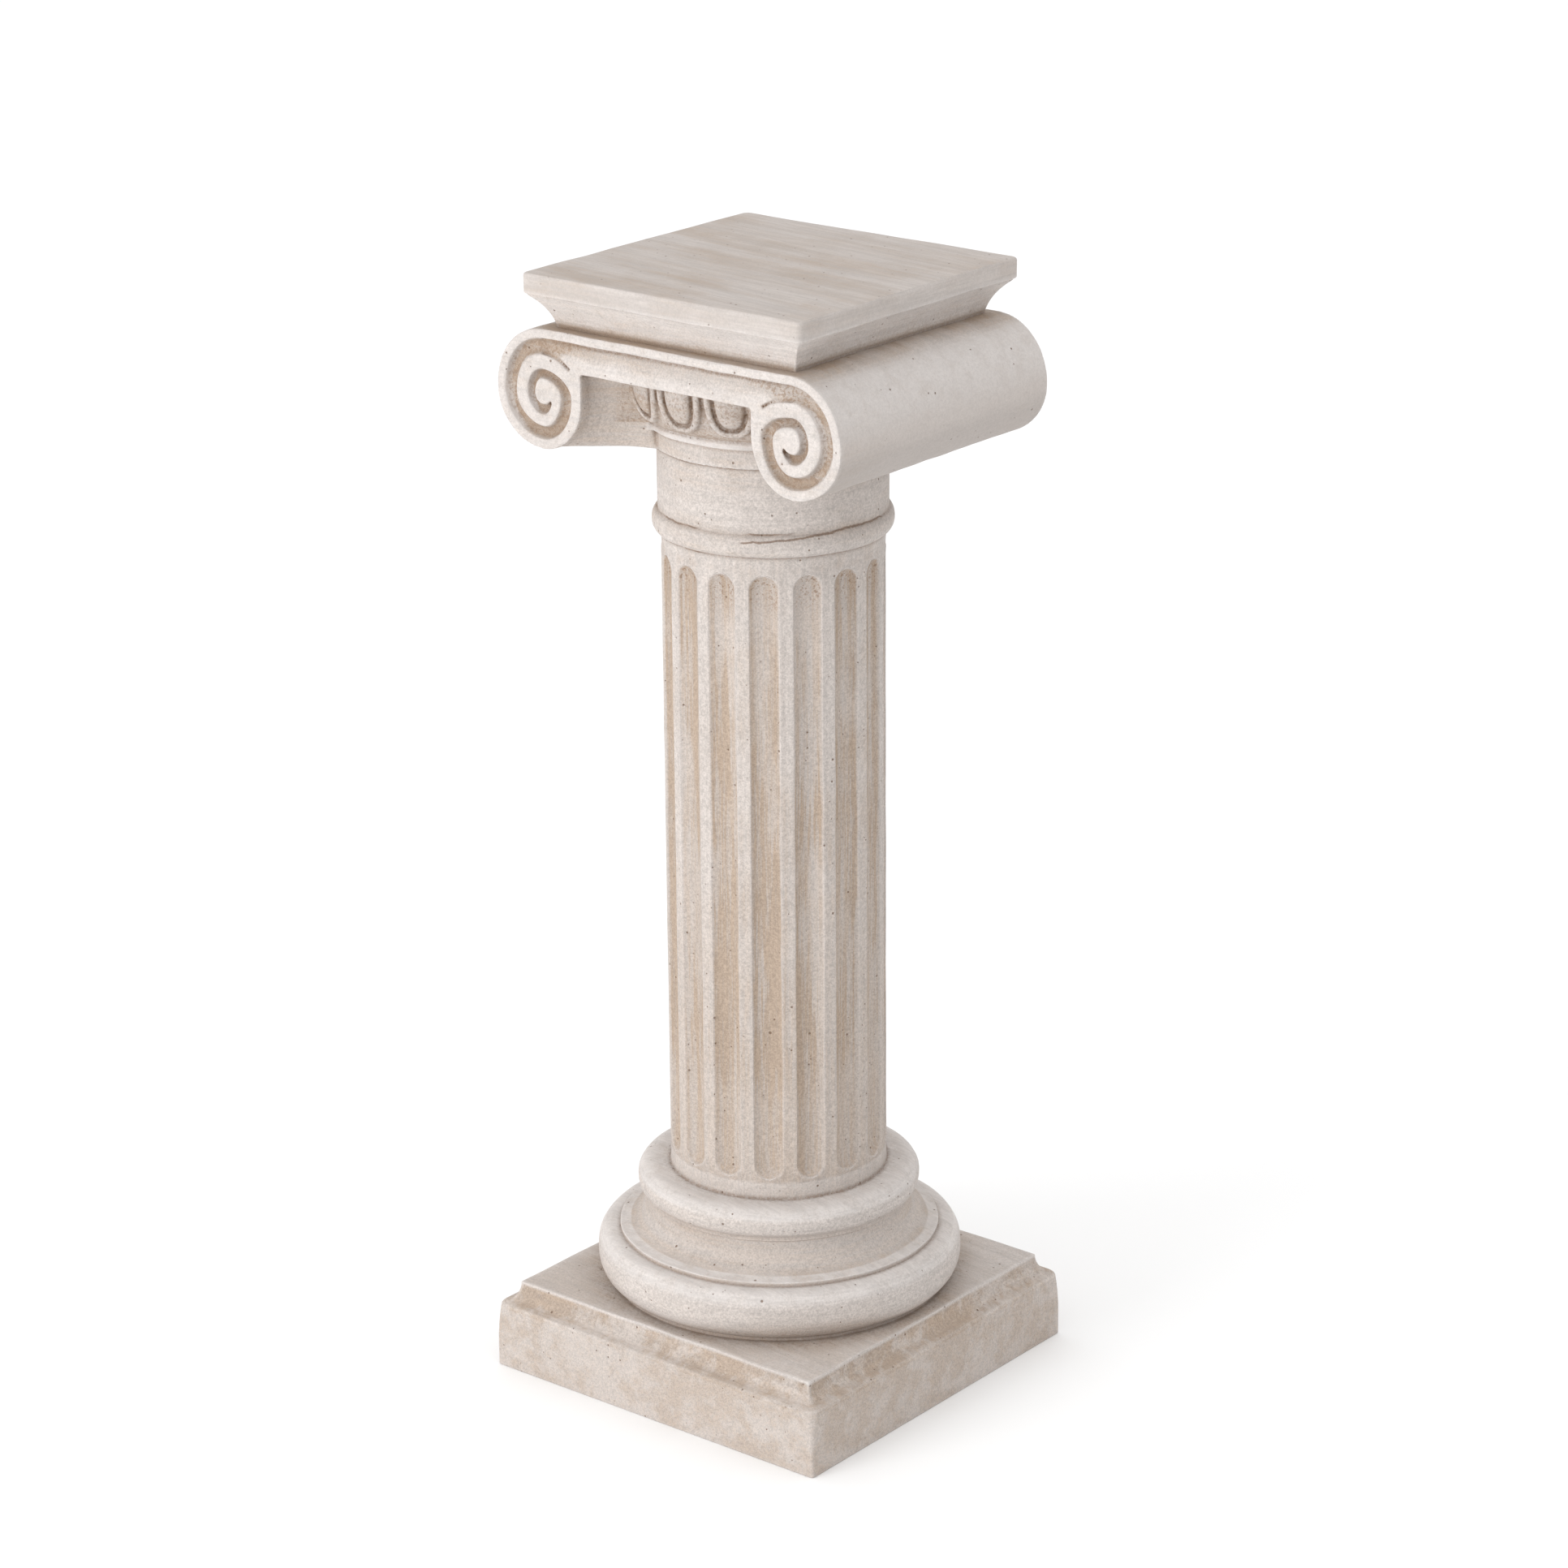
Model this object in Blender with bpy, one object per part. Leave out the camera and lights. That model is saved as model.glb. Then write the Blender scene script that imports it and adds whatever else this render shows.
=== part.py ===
# Column plant stand: a cast stone pedestal in the Ionic order.
# Metres, +Z up. The origin is the centre of the underside, and the two scrolled faces look along -Y and +Y.
# The stand is one casting, so every form below is joined into one closed body.

import math

import bmesh
import bpy
import numpy as np

# Plinth
PLINTH_WIDTH = 0.2756
PLINTH_SIDE = 0.0448
PLINTH_ARRIS = 0.0018
PLINTH_SHELF_RISE = 0.0010
PLINTH_COVE_REACH = 0.0088
PLINTH_COVE_RISE = 0.0126
PLINTH_LEDGE = 0.0008
PLINTH_TOP_WIDTH = 0.2500
PLINTH_CORNER = 0.0018

# Turned base, from the plinth up
LOWER_TORUS_RADIUS = 0.1238
LOWER_TORUS_HEIGHT = 0.0364
LOWER_TORUS_ROUND = 0.0182
LOWER_TORUS_SHOULDER = 0.0137
LOWER_TORUS_FULLNESS = 2.8
FILLET_RADIUS = 0.1086
FILLET_HEIGHT = 0.0032
SCOTIA_RADIUS = 0.0203
SCOTIA_LIP_HEIGHT = 0.0026
SCOTIA_LIP_STEP = 0.0010
UPPER_TORUS_RADIUS = 0.0956
UPPER_TORUS_HEIGHT = 0.0214
UPPER_TORUS_ROUND = 0.0134
UPPER_TORUS_FULLNESS = 2.4

# Shaft and its flutes
SHAFT_RADIUS = 0.0729
SHAFT_LENGTH = 0.4445
SHAFT_FLARE = 0.0009
SHAFT_FLARE_LENGTH = 0.0090
FLUTE_COUNT = 16
FLUTE_WIDTH = 0.0206
FLUTE_DEPTH = 0.0040
FLUTE_FOOT = 0.0138
FLUTE_HEAD = 0.0119

# Astragal and neck
ASTRAGAL_PROJECTION = 0.0060
ASTRAGAL_HEIGHT = 0.0157
NECK_RADIUS = 0.0752
NECK_HEIGHT = 0.0422
NECK_BAND_STEP = 0.0016
NECK_BAND_TAPER = 0.0012
NECK_BAND_HEIGHT = 0.0140
NECK_LIP_PROJECTION = 0.0050
NECK_LIP_HEIGHT = 0.0056

# Echinus with its eggs
ECHINUS_FOOT_STEP = 0.0030
ECHINUS_HEAD_RADIUS = 0.0935
EGG_COUNT = 16
EGG_SHOWN = 3
EGG_WIDTH = 0.0214
EGG_DROP = 0.0258
EGG_RELIEF = 0.0046
EGG_HEAD_SHARE = 0.35
EGG_FULLNESS = 2.8
SHELL_WIDTH = 0.0070
SHELL_DROP = 0.0050
SHELL_RELIEF = 0.0030

# Scrolls, the slab that joins them and the channel across it
CAPITAL_WIDTH = 0.2808
CAPITAL_DEPTH = 0.2156
SCROLL_HEIGHT = 0.0785
SCROLL_CLEARANCE = 0.0006
SLAB_HEIGHT = 0.0250
GROOVE_DEPTH = 0.0036
CHANNEL_SWELL = 0.0120

# Reach of the scroll's band from its eye, a quarter turn apart, as shares of the scroll's height.
# Both lists start at the top and run over the outer side, down and back under.
BAND_OUTER = (0.538, 0.489, 0.462, 0.414, 0.326, 0.283, 0.269, 0.197, 0.126, 0.079, 0.089, 0.100)
BAND_INNER = (0.464, 0.407, 0.380, 0.310, 0.206, 0.162, 0.176, 0.104)

# Webs that sweep from the scrolls in to the neck
WEB_REACH = 0.0437
WEB_FOOT_BACK = 0.0645
WEB_HEAD_BACK = 0.0860
WEB_HOLLOW = 0.0045

# Square top plate
TOP_WIDTH = 0.2262
TOP_FASCIA = 0.0137
TOP_UNDERCUT = 0.0030
TOP_SHADOW = 0.0016
TOP_COVE_HEIGHT = 0.0212
TOP_FOOT_WIDTH = 0.1946
TOP_COVE_SAG = 0.0023
TOP_ARRIS = 0.0012
TOP_CORNER = 0.0016

# Facets
TURNED_STEPS = 48
FLUTE_STEPS = 24
EGG_STEPS = 14
QUARTER_STEPS = 5
WEB_STEPS = 4
WEB_LEVELS = 5
BURIED = 0.0020
SLIGHT = 0.0003

# Heights worked out from the sizes above, from the ground up
PLINTH_TOP = PLINTH_SIDE + PLINTH_ARRIS + PLINTH_SHELF_RISE + PLINTH_COVE_RISE + PLINTH_LEDGE
FILLET_BOTTOM = PLINTH_TOP + LOWER_TORUS_HEIGHT
FILLET_TOP = FILLET_BOTTOM + FILLET_HEIGHT
SCOTIA_TOP = FILLET_TOP + SCOTIA_RADIUS
UPPER_TORUS_BOTTOM = SCOTIA_TOP + SCOTIA_LIP_HEIGHT
SHAFT_FOOT = UPPER_TORUS_BOTTOM + UPPER_TORUS_HEIGHT
SHAFT_HEAD = SHAFT_FOOT + SHAFT_LENGTH
NECK_FOOT = SHAFT_HEAD + ASTRAGAL_HEIGHT
BAND_FOOT = NECK_FOOT + NECK_HEIGHT
LIP_FOOT = BAND_FOOT + NECK_BAND_HEIGHT
ECHINUS_FOOT = LIP_FOOT + NECK_LIP_HEIGHT
SCROLL_FOOT = BAND_FOOT + SCROLL_CLEARANCE
SCROLL_TOP = SCROLL_FOOT + SCROLL_HEIGHT
SLAB_FOOT = SCROLL_TOP - SLAB_HEIGHT
TOP_COVE_TOP = SCROLL_TOP + TOP_COVE_HEIGHT
FASCIA_FOOT = TOP_COVE_TOP + TOP_SHADOW
TOTAL_HEIGHT = FASCIA_FOOT + TOP_FASCIA

# Radii and places that follow from the others
BAND_RADIUS = NECK_RADIUS + NECK_BAND_STEP
LIP_RADIUS = BAND_RADIUS + NECK_LIP_PROJECTION
ECHINUS_FOOT_RADIUS = LIP_RADIUS - ECHINUS_FOOT_STEP
EYE_X = CAPITAL_WIDTH / 2 - BAND_OUTER[1] * SCROLL_HEIGHT
EYE_Z = SCROLL_TOP - BAND_OUTER[0] * SCROLL_HEIGHT
CHANNEL_TOP = EYE_Z + BAND_INNER[0] * SCROLL_HEIGHT
FACE_Y = CAPITAL_DEPTH / 2

CAST_STONE_COLOUR = (0.71, 0.67, 0.62, 1.0)


def arc(centre, radii, start, end, steps, fullness=2.0):
    """Points of an arc from one angle to another in degrees: an ellipse at fullness 2, squarer above it."""
    points = []
    for angle in np.radians(np.linspace(start, end, steps + 1)):
        across = math.copysign(abs(math.cos(angle)) ** (2 / fullness), math.cos(angle))
        upright = math.copysign(abs(math.sin(angle)) ** (2 / fullness), math.sin(angle))
        points.append((centre[0] + radii[0] * across, centre[1] + radii[1] * upright))
    return points


def new_object(name, bm):
    """Turns a bmesh into an object in the scene, its faces pointing out."""
    bmesh.ops.recalc_face_normals(bm, faces=bm.faces)
    mesh = bpy.data.meshes.new(name)
    bm.to_mesh(mesh)
    bm.free()
    obj = bpy.data.objects.new(name, mesh)
    bpy.context.scene.collection.objects.link(obj)
    return obj


def as_tool(obj):
    """Marks an object as a form that only shapes another one."""
    obj.hide_render = True
    obj.display_type = "WIRE"
    return obj


def shape_with(obj, tool, operation):
    """Adds the tool to the object, or cuts it out."""
    step = obj.modifiers.new(tool.name, "BOOLEAN")
    step.operation = operation
    step.solver = "EXACT"
    step.object = as_tool(tool)


def turned(name, profile, steps):
    """A closed body turned about the Z axis from radius and height pairs."""
    bm = bmesh.new()
    line = [bm.verts.new((r, 0.0, z)) for r, z in profile]
    edges = [bm.edges.new(pair) for pair in zip(line, line[1:])]
    bmesh.ops.spin(bm, geom=line + edges, cent=(0, 0, 0), axis=(0, 0, 1),
                   angle=math.tau, steps=steps, use_merge=True)
    bmesh.ops.remove_doubles(bm, verts=bm.verts, dist=0.00001)
    bmesh.ops.holes_fill(bm, edges=bm.edges, sides=0)
    return new_object(name, bm)


def square_moulding(name, profile, corner):
    """A square body drawn up through half-width and height pairs, its upright corners rounded."""
    bm = bmesh.new()
    half, z = profile[0]
    square = [bm.verts.new((sx * half, sy * half, z)) for sx, sy in ((-1, -1), (1, -1), (1, 1), (-1, 1))]
    face = bm.faces.new(square)
    for next_half, next_z in profile[1:]:
        grown = bmesh.ops.extrude_discrete_faces(bm, faces=[face])
        face = grown["faces"][0]
        scale = next_half / half
        bmesh.ops.scale(bm, vec=(scale, scale, 1.0), verts=face.verts)
        bmesh.ops.translate(bm, vec=(0, 0, next_z - z), verts=face.verts)
        half, z = next_half, next_z
    bmesh.ops.holes_fill(bm, edges=bm.edges, sides=4)
    upright = [e for e in bm.edges if e.verts[0].co.z != e.verts[1].co.z]
    bmesh.ops.bevel(bm, geom=upright, offset=corner, offset_type="OFFSET", affect="EDGES",
                    segments=2, profile=0.5, material=-1, clamp_overlap=True)
    bmesh.ops.remove_doubles(bm, verts=bm.verts, dist=0.00001)
    return new_object(name, bm)


def prism(name, outline, start, end):
    """A closed body between two depths, drawn along Y from an outline of X and Z pairs."""
    bm = bmesh.new()
    face = bm.faces.new([bm.verts.new((x, start, z)) for x, z in outline])
    grown = bmesh.ops.extrude_face_region(bm, geom=[face])
    moved = [v for v in grown["geom"] if isinstance(v, bmesh.types.BMVert)]
    bmesh.ops.translate(bm, vec=(0, end - start, 0), verts=moved)
    return new_object(name, bm)


def loft(name, rings):
    """A closed body through rings of points, each ring with the same number of points."""
    bm = bmesh.new()
    loops = []
    for ring in rings:
        verts = [bm.verts.new(point) for point in ring]
        loops.append([bm.edges.new((verts[i - 1], verts[i])) for i in range(len(verts))])
    for lower, upper in zip(loops, loops[1:]):
        bmesh.ops.bridge_loops(bm, edges=lower + upper)
    bmesh.ops.holes_fill(bm, edges=bm.edges, sides=0)
    bmesh.ops.triangulate(bm, faces=bm.faces)
    return new_object(name, bm)


def joined(name, parts):
    """One object from several separate bodies."""
    bm = bmesh.new()
    for part in parts:
        bm.from_mesh(part.data)
        bpy.data.objects.remove(part)
    return new_object(name, bm)


def plinth():
    half = PLINTH_WIDTH / 2
    foot = [(half - PLINTH_LEDGE, 0.0), (half, PLINTH_LEDGE)]
    arris = arc((half - PLINTH_ARRIS, PLINTH_SIDE), (PLINTH_ARRIS, PLINTH_ARRIS), 0, 90, 3)
    top_half = PLINTH_TOP_WIDTH / 2
    cove = arc((top_half + PLINTH_LEDGE + PLINTH_COVE_REACH, PLINTH_TOP - PLINTH_LEDGE),
               (PLINTH_COVE_REACH, PLINTH_COVE_RISE), -90, -180, 5)
    return square_moulding("plinth", foot + arris + cove + [(top_half, PLINTH_TOP)], PLINTH_CORNER)


def column():
    """The base, the plain shaft, the neck and the echinus, turned as one."""
    torus_middle = PLINTH_TOP + LOWER_TORUS_HEIGHT / 2
    lower = arc((LOWER_TORUS_RADIUS - LOWER_TORUS_ROUND, torus_middle),
                (LOWER_TORUS_ROUND, LOWER_TORUS_HEIGHT / 2),
                -62, 0, 4)
    lower += arc((LOWER_TORUS_RADIUS - LOWER_TORUS_SHOULDER, torus_middle),
                 (LOWER_TORUS_SHOULDER, LOWER_TORUS_HEIGHT / 2), 16, 88, 5, LOWER_TORUS_FULLNESS)
    fillet = [(FILLET_RADIUS, FILLET_BOTTOM), (FILLET_RADIUS, FILLET_TOP)]
    scotia = arc((FILLET_RADIUS, SCOTIA_TOP), (SCOTIA_RADIUS, SCOTIA_RADIUS), -94, -180, 4)
    lip = [(FILLET_RADIUS - SCOTIA_RADIUS + SCOTIA_LIP_STEP, UPPER_TORUS_BOTTOM)]
    upper = arc((UPPER_TORUS_RADIUS - UPPER_TORUS_ROUND, UPPER_TORUS_BOTTOM + UPPER_TORUS_HEIGHT / 2),
                (UPPER_TORUS_ROUND, UPPER_TORUS_HEIGHT / 2), -54, 90, 6, UPPER_TORUS_FULLNESS)
    shaft = [
        (SHAFT_RADIUS + SHAFT_FLARE, SHAFT_FOOT),
        (SHAFT_RADIUS, SHAFT_FOOT + SHAFT_FLARE_LENGTH),
        (SHAFT_RADIUS, SHAFT_HEAD - SHAFT_FLARE_LENGTH),
        (SHAFT_RADIUS + SHAFT_FLARE, SHAFT_HEAD),
    ]
    astragal = arc((SHAFT_RADIUS, SHAFT_HEAD + ASTRAGAL_HEIGHT / 2),
                   (ASTRAGAL_PROJECTION, ASTRAGAL_HEIGHT / 2), -66, 62, 4)
    neck = [
        (NECK_RADIUS, NECK_FOOT),
        (NECK_RADIUS, BAND_FOOT),
        (BAND_RADIUS, BAND_FOOT + NECK_BAND_STEP / 2),
        (BAND_RADIUS + NECK_BAND_TAPER, LIP_FOOT),
    ]
    lip_round = NECK_LIP_HEIGHT / 2
    neck_lip = arc((LIP_RADIUS - lip_round / 2, LIP_FOOT + lip_round),
                   (lip_round / 2, lip_round), -70, 90, 2)
    echinus = arc((ECHINUS_FOOT_RADIUS, SLAB_FOOT),
                  (ECHINUS_HEAD_RADIUS - ECHINUS_FOOT_RADIUS, SLAB_FOOT - ECHINUS_FOOT), -90, 0, 3)
    top = [(ECHINUS_HEAD_RADIUS, SLAB_FOOT + BURIED)]
    foot = [(lower[0][0], PLINTH_TOP - BURIED)]
    base = foot + lower + fillet + scotia + lip + upper
    profile = base + shaft + astragal + neck + neck_lip + echinus + top
    return turned("column_plant_stand", profile, TURNED_STEPS)


def flutes():
    """Round-ended rods that cut the flutes, with a flat fillet between them on each axis."""
    half = FLUTE_WIDTH / 2
    rod = (half ** 2 + FLUTE_DEPTH ** 2) / (2 * FLUTE_DEPTH)
    low = SHAFT_FOOT + FLUTE_FOOT + half
    high = SHAFT_HEAD - FLUTE_HEAD - half
    quarter = FLUTE_STEPS // 4
    side = arc((0, low), (rod, rod), -90, 0, quarter) + arc((0, high), (rod, rod), 0, 90, quarter)
    rods = []
    for i in range(FLUTE_COUNT):
        part = turned("flute", side, FLUTE_STEPS)
        angle = math.tau * (i + 0.5) / FLUTE_COUNT
        reach = SHAFT_RADIUS - FLUTE_DEPTH + rod
        for vert in part.data.vertices:
            x, y = vert.co.x + reach, vert.co.y
            vert.co.x = x * math.cos(angle) - y * math.sin(angle)
            vert.co.y = x * math.sin(angle) + y * math.cos(angle)
        rods.append(part)
    return joined("flutes", rods)


def scroll_edge(reaches, first, last):
    """Points along an edge of the scroll's band, in X and Z from the eye, between two quarter turns."""
    points = []
    for quarter in range(first, last):
        for step in range(QUARTER_STEPS):
            turn = math.pi / 2 * (quarter + step / QUARTER_STEPS)
            across, upright = (quarter + 1, quarter) if quarter % 2 == 0 else (quarter, quarter + 1)
            points.append((reaches[across] * SCROLL_HEIGHT * math.sin(turn),
                           reaches[upright] * SCROLL_HEIGHT * math.cos(turn)))
    turn = math.pi / 2 * last
    reach = reaches[last] * SCROLL_HEIGHT
    points.append((reach * math.sin(turn), reach * math.cos(turn)))
    return points


def scroll_block():
    """The two rolls and the slab between them, drawn through from face to face."""
    right = [(EYE_X + x, EYE_Z + z) for x, z in scroll_edge(BAND_OUTER, 0, 3)]
    right.append((right[-1][0], SLAB_FOOT))
    outline = right + [(-x, z) for x, z in reversed(right)]
    return prism("scroll_block", outline, -FACE_Y, FACE_Y)


def groove_strip(mirror, face):
    """The cutter of one scroll's groove, a band that narrows as it winds in to the eye."""
    last = len(BAND_INNER) - 1
    far = scroll_edge(BAND_INNER, 0, last)
    near = scroll_edge(BAND_OUTER[4:], 0, last)
    outline = far + near[::-1]
    deep = face * (FACE_Y - GROOVE_DEPTH)
    out = face * (FACE_Y + BURIED)
    bm = bmesh.new()
    count = len(far)
    verts = [bm.verts.new((mirror * (EYE_X + x), deep, EYE_Z + z)) for x, z in outline]
    for i in range(count - 1):
        bm.faces.new((verts[i], verts[i + 1], verts[2 * count - 2 - i], verts[2 * count - 1 - i]))
    grown = bmesh.ops.extrude_face_region(bm, geom=bm.faces[:])
    moved = [v for v in grown["geom"] if isinstance(v, bmesh.types.BMVert)]
    bmesh.ops.translate(bm, vec=(0, out - deep, 0), verts=moved)
    bmesh.ops.triangulate(bm, faces=bm.faces)
    return new_object("groove", bm)


def channel(face):
    """The cutter of the channel between the scrolls, deep under the rim and swelling forward below."""
    shelf = [(EYE_X + x, EYE_Z + z) for x, z in scroll_edge(BAND_OUTER, 3, 4)]
    shelf = [point for point in shelf if point[1] > SLAB_FOOT + BURIED]
    overlap = (EYE_X + BURIED, shelf[-1][1] + BURIED)
    half = [(x, z, CHANNEL_TOP) for x, z in shelf] + [overlap + (CHANNEL_TOP - BURIED,)]
    deep = GROOVE_DEPTH - SLIGHT
    rings = []
    for x, floor, roof in [(-x, z, top) for x, z, top in reversed(half)] + half:
        swell = min(1.0, max(0.0, (EYE_X - abs(x)) / (EYE_X - shelf[0][0])))
        rings.append([
            (x, face * (FACE_Y + BURIED), floor),
            (x, face * (FACE_Y - deep * (1 - swell) + SLIGHT * swell), floor),
            (x, face * (FACE_Y - deep * (1 - swell * 0.4)), floor + (0.2 + 0.8 * swell) * CHANNEL_SWELL),
            (x, face * (FACE_Y - deep), roof),
            (x, face * (FACE_Y + BURIED), roof),
        ])
    return loft("channel", rings)


def web(mirror):
    """The wall behind a pair of scrolls, hollowed a little as it sweeps in from their rims to the neck."""
    foot = SCROLL_FOOT + SLIGHT
    head = SLAB_FOOT + BURIED
    eye_drop = BAND_OUTER[2] * SCROLL_HEIGHT
    rings = []
    for level in range(WEB_LEVELS + 1):
        rise = level / WEB_LEVELS
        z = foot + (head - foot) * rise
        below = min(1.0, max(0.0, (EYE_Z - z) / eye_drop))
        rim_x = EYE_X - BAND_OUTER[3] * SCROLL_HEIGHT * math.sqrt(1 - below ** 2) + BURIED
        rim_y = FACE_Y - GROOVE_DEPTH - SLIGHT
        neck_x = WEB_REACH
        neck_y = WEB_FOOT_BACK + (WEB_HEAD_BACK - WEB_FOOT_BACK) * rise
        front = [(EYE_X, rim_y)]
        length = math.hypot(rim_x - neck_x, rim_y - neck_y)
        normal = ((rim_y - neck_y) / length, -(rim_x - neck_x) / length)
        for step in range(WEB_STEPS + 1):
            along = step / WEB_STEPS
            sag = WEB_HOLLOW * 4 * along * (1 - along)
            front.append((rim_x + (neck_x - rim_x) * along + normal[0] * sag,
                          rim_y + (neck_y - rim_y) * along + normal[1] * sag))
        front.append((neck_x / 2, neck_y / 2))
        ring = [(mirror * x, y, z) for x, y in front] + [(mirror * x, -y, z) for x, y in reversed(front)]
        rings.append(ring)
    return loft("web", rings)


def echinus_radius(z):
    """Radius of the plain echinus at a height."""
    below = min(1.0, max(0.0, (SLAB_FOOT - z) / (SLAB_FOOT - ECHINUS_FOOT)))
    return ECHINUS_FOOT_RADIUS + (ECHINUS_HEAD_RADIUS - ECHINUS_FOOT_RADIUS) * math.sqrt(1 - below ** 2)


def egg(angle):
    """One egg in its shell, raised on the echinus: rings from the egg's crown out to the shell's rim."""
    half = EGG_WIDTH / 2
    rings = [
        (half * 0.50, EGG_DROP * 0.50, EGG_RELIEF),
        (half * 0.88, EGG_DROP * 0.88, EGG_RELIEF * 0.60),
        (half, EGG_DROP, SLIGHT),
        (half + SHELL_WIDTH * 0.32, EGG_DROP + SHELL_DROP * 0.30, SHELL_RELIEF),
        (half + SHELL_WIDTH * 0.72, EGG_DROP + SHELL_DROP * 0.72, SHELL_RELIEF * 0.9),
        (half + SHELL_WIDTH, EGG_DROP + SHELL_DROP, -SHELL_RELIEF * 0.5),
        (half, EGG_DROP * 0.8, -BURIED * 2),
    ]
    drawn = []
    for across, drop, lift in rings:
        ring = []
        for aside, upright in arc((0, 0), (1, 1), 0, 360, EGG_STEPS, EGG_FULLNESS)[:-1]:
            z = SLAB_FOOT + upright * (drop if upright < 0 else drop * EGG_HEAD_SHARE)
            radius = echinus_radius(z) + lift
            around = angle + aside * across / ECHINUS_HEAD_RADIUS
            ring.append((radius * math.sin(around), -radius * math.cos(around), z))
        drawn.append(ring)
    return loft("egg", drawn)


def egg_row():
    """The eggs that show between the scrolls on both faces."""
    eggs = []
    for side in range(2):
        for i in range(EGG_SHOWN):
            eggs.append(egg(math.tau * (i - (EGG_SHOWN - 1) / 2) / EGG_COUNT + math.pi * side))
    return joined("eggs", eggs)


def top_plate():
    foot = TOP_FOOT_WIDTH / 2
    head = TOP_WIDTH / 2 - TOP_UNDERCUT
    length = math.hypot(head - foot, TOP_COVE_HEIGHT)
    across = (-TOP_COVE_HEIGHT / length, (head - foot) / length)
    cove = []
    for step in range(6):
        along = step / 5
        sag = TOP_COVE_SAG * 4 * along * (1 - along)
        cove.append((foot + (head - foot) * along + across[0] * sag,
                     SCROLL_TOP + TOP_COVE_HEIGHT * along + across[1] * sag))
    outer = TOP_WIDTH / 2
    fascia = [
        (outer - TOP_ARRIS, FASCIA_FOOT),
        (outer, FASCIA_FOOT + TOP_ARRIS),
        (outer, TOTAL_HEIGHT - TOP_ARRIS),
        (outer - TOP_ARRIS, TOTAL_HEIGHT),
    ]
    return square_moulding("top_plate", [(foot, SCROLL_TOP - BURIED)] + cove + fascia, TOP_CORNER)


def cast_stone():
    material = bpy.data.materials.new("limewashed_cast_stone")
    material.use_nodes = True
    shader = material.node_tree.nodes["Principled BSDF"]
    shader.inputs["Base Color"].default_value = CAST_STONE_COLOUR
    shader.inputs["Roughness"].default_value = 0.85
    shader.inputs["Metallic"].default_value = 0.0
    return material


def main():
    for old in list(bpy.data.objects):
        bpy.data.objects.remove(old)
    block = scroll_block()
    for mirror in (-1, 1):
        shape_with(block, web(mirror), "UNION")
    cutters = [groove_strip(mirror, face) for mirror in (-1, 1) for face in (-1, 1)]
    shape_with(block, joined("grooves", cutters), "DIFFERENCE")
    for face in (-1, 1):
        shape_with(block, channel(face), "DIFFERENCE")
    stand = column()
    shape_with(stand, flutes(), "DIFFERENCE")
    shape_with(stand, egg_row(), "UNION")
    shape_with(stand, block, "UNION")
    shape_with(stand, plinth(), "UNION")
    shape_with(stand, top_plate(), "UNION")
    stand.data.materials.append(cast_stone())
    stand.data.shade_smooth()
    stand.data.set_sharp_from_angle(angle=math.radians(35))


main()
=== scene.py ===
# %% [markdown]
# # A column plant stand in limewashed cast stone
# The real stand is one casting of stone dust and cement, about 76 cm high: a square plinth, a turned
# base, a fluted shaft, a capital with two scrolled faces, and a square plate for the planter. It was
# brushed with a brown wash that stayed in the hollows, and then with white lime that stayed on top.
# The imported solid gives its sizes. This script models the same forms again with soft edges and a fine
# surface, joins them into one piece as the mould did, and paints it with nodes.

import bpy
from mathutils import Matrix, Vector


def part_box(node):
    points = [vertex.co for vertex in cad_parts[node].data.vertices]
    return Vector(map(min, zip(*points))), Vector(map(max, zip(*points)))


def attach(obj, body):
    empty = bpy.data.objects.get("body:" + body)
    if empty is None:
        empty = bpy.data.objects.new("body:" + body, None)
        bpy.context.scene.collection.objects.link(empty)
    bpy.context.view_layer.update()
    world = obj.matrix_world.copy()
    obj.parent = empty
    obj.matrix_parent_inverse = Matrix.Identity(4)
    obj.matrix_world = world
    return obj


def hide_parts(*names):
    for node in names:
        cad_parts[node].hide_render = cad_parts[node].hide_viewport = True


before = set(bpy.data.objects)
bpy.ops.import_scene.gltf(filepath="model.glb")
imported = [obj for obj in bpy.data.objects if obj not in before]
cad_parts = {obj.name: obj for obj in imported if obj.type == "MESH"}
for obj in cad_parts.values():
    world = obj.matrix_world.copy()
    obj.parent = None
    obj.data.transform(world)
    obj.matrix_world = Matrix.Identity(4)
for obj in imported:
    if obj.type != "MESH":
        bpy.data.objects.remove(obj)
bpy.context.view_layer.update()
low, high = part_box("column_plant_stand")
print("stand", [round(b - a, 4) for a, b in zip(low, high)], "m")

# %% [markdown]
# ## Shared helpers
# Mouldings are drawn as a line of points: radius and height for what is turned, half-width and height
# for what is square. Most of such a line is arcs. A squarer arc gives the full shoulders of a cast
# torus, which a circle would make too lean.

# %% Arcs, objects and finished meshes
import math

import bmesh
import bpy
from mathutils import Matrix, Vector, noise


def arc(centre, radii, start, end, steps, fullness=2.0):
    """Points of an arc from one angle to another in degrees: an ellipse at fullness 2, squarer above it."""
    points = []
    for i in range(steps + 1):
        angle = math.radians(start + (end - start) * i / steps)
        across = math.copysign(abs(math.cos(angle)) ** (2 / fullness), math.cos(angle))
        upright = math.copysign(abs(math.sin(angle)) ** (2 / fullness), math.sin(angle))
        points.append((centre[0] + radii[0] * across, centre[1] + radii[1] * upright))
    return points


def as_object(name, bm):
    """An object in the scene from a bmesh, its faces pointing out."""
    bmesh.ops.recalc_face_normals(bm, faces=bm.faces)
    mesh = bpy.data.meshes.new(name)
    bm.to_mesh(mesh)
    bm.free()
    obj = bpy.data.objects.new(name, mesh)
    bpy.context.scene.collection.objects.link(obj)
    return obj


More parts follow.
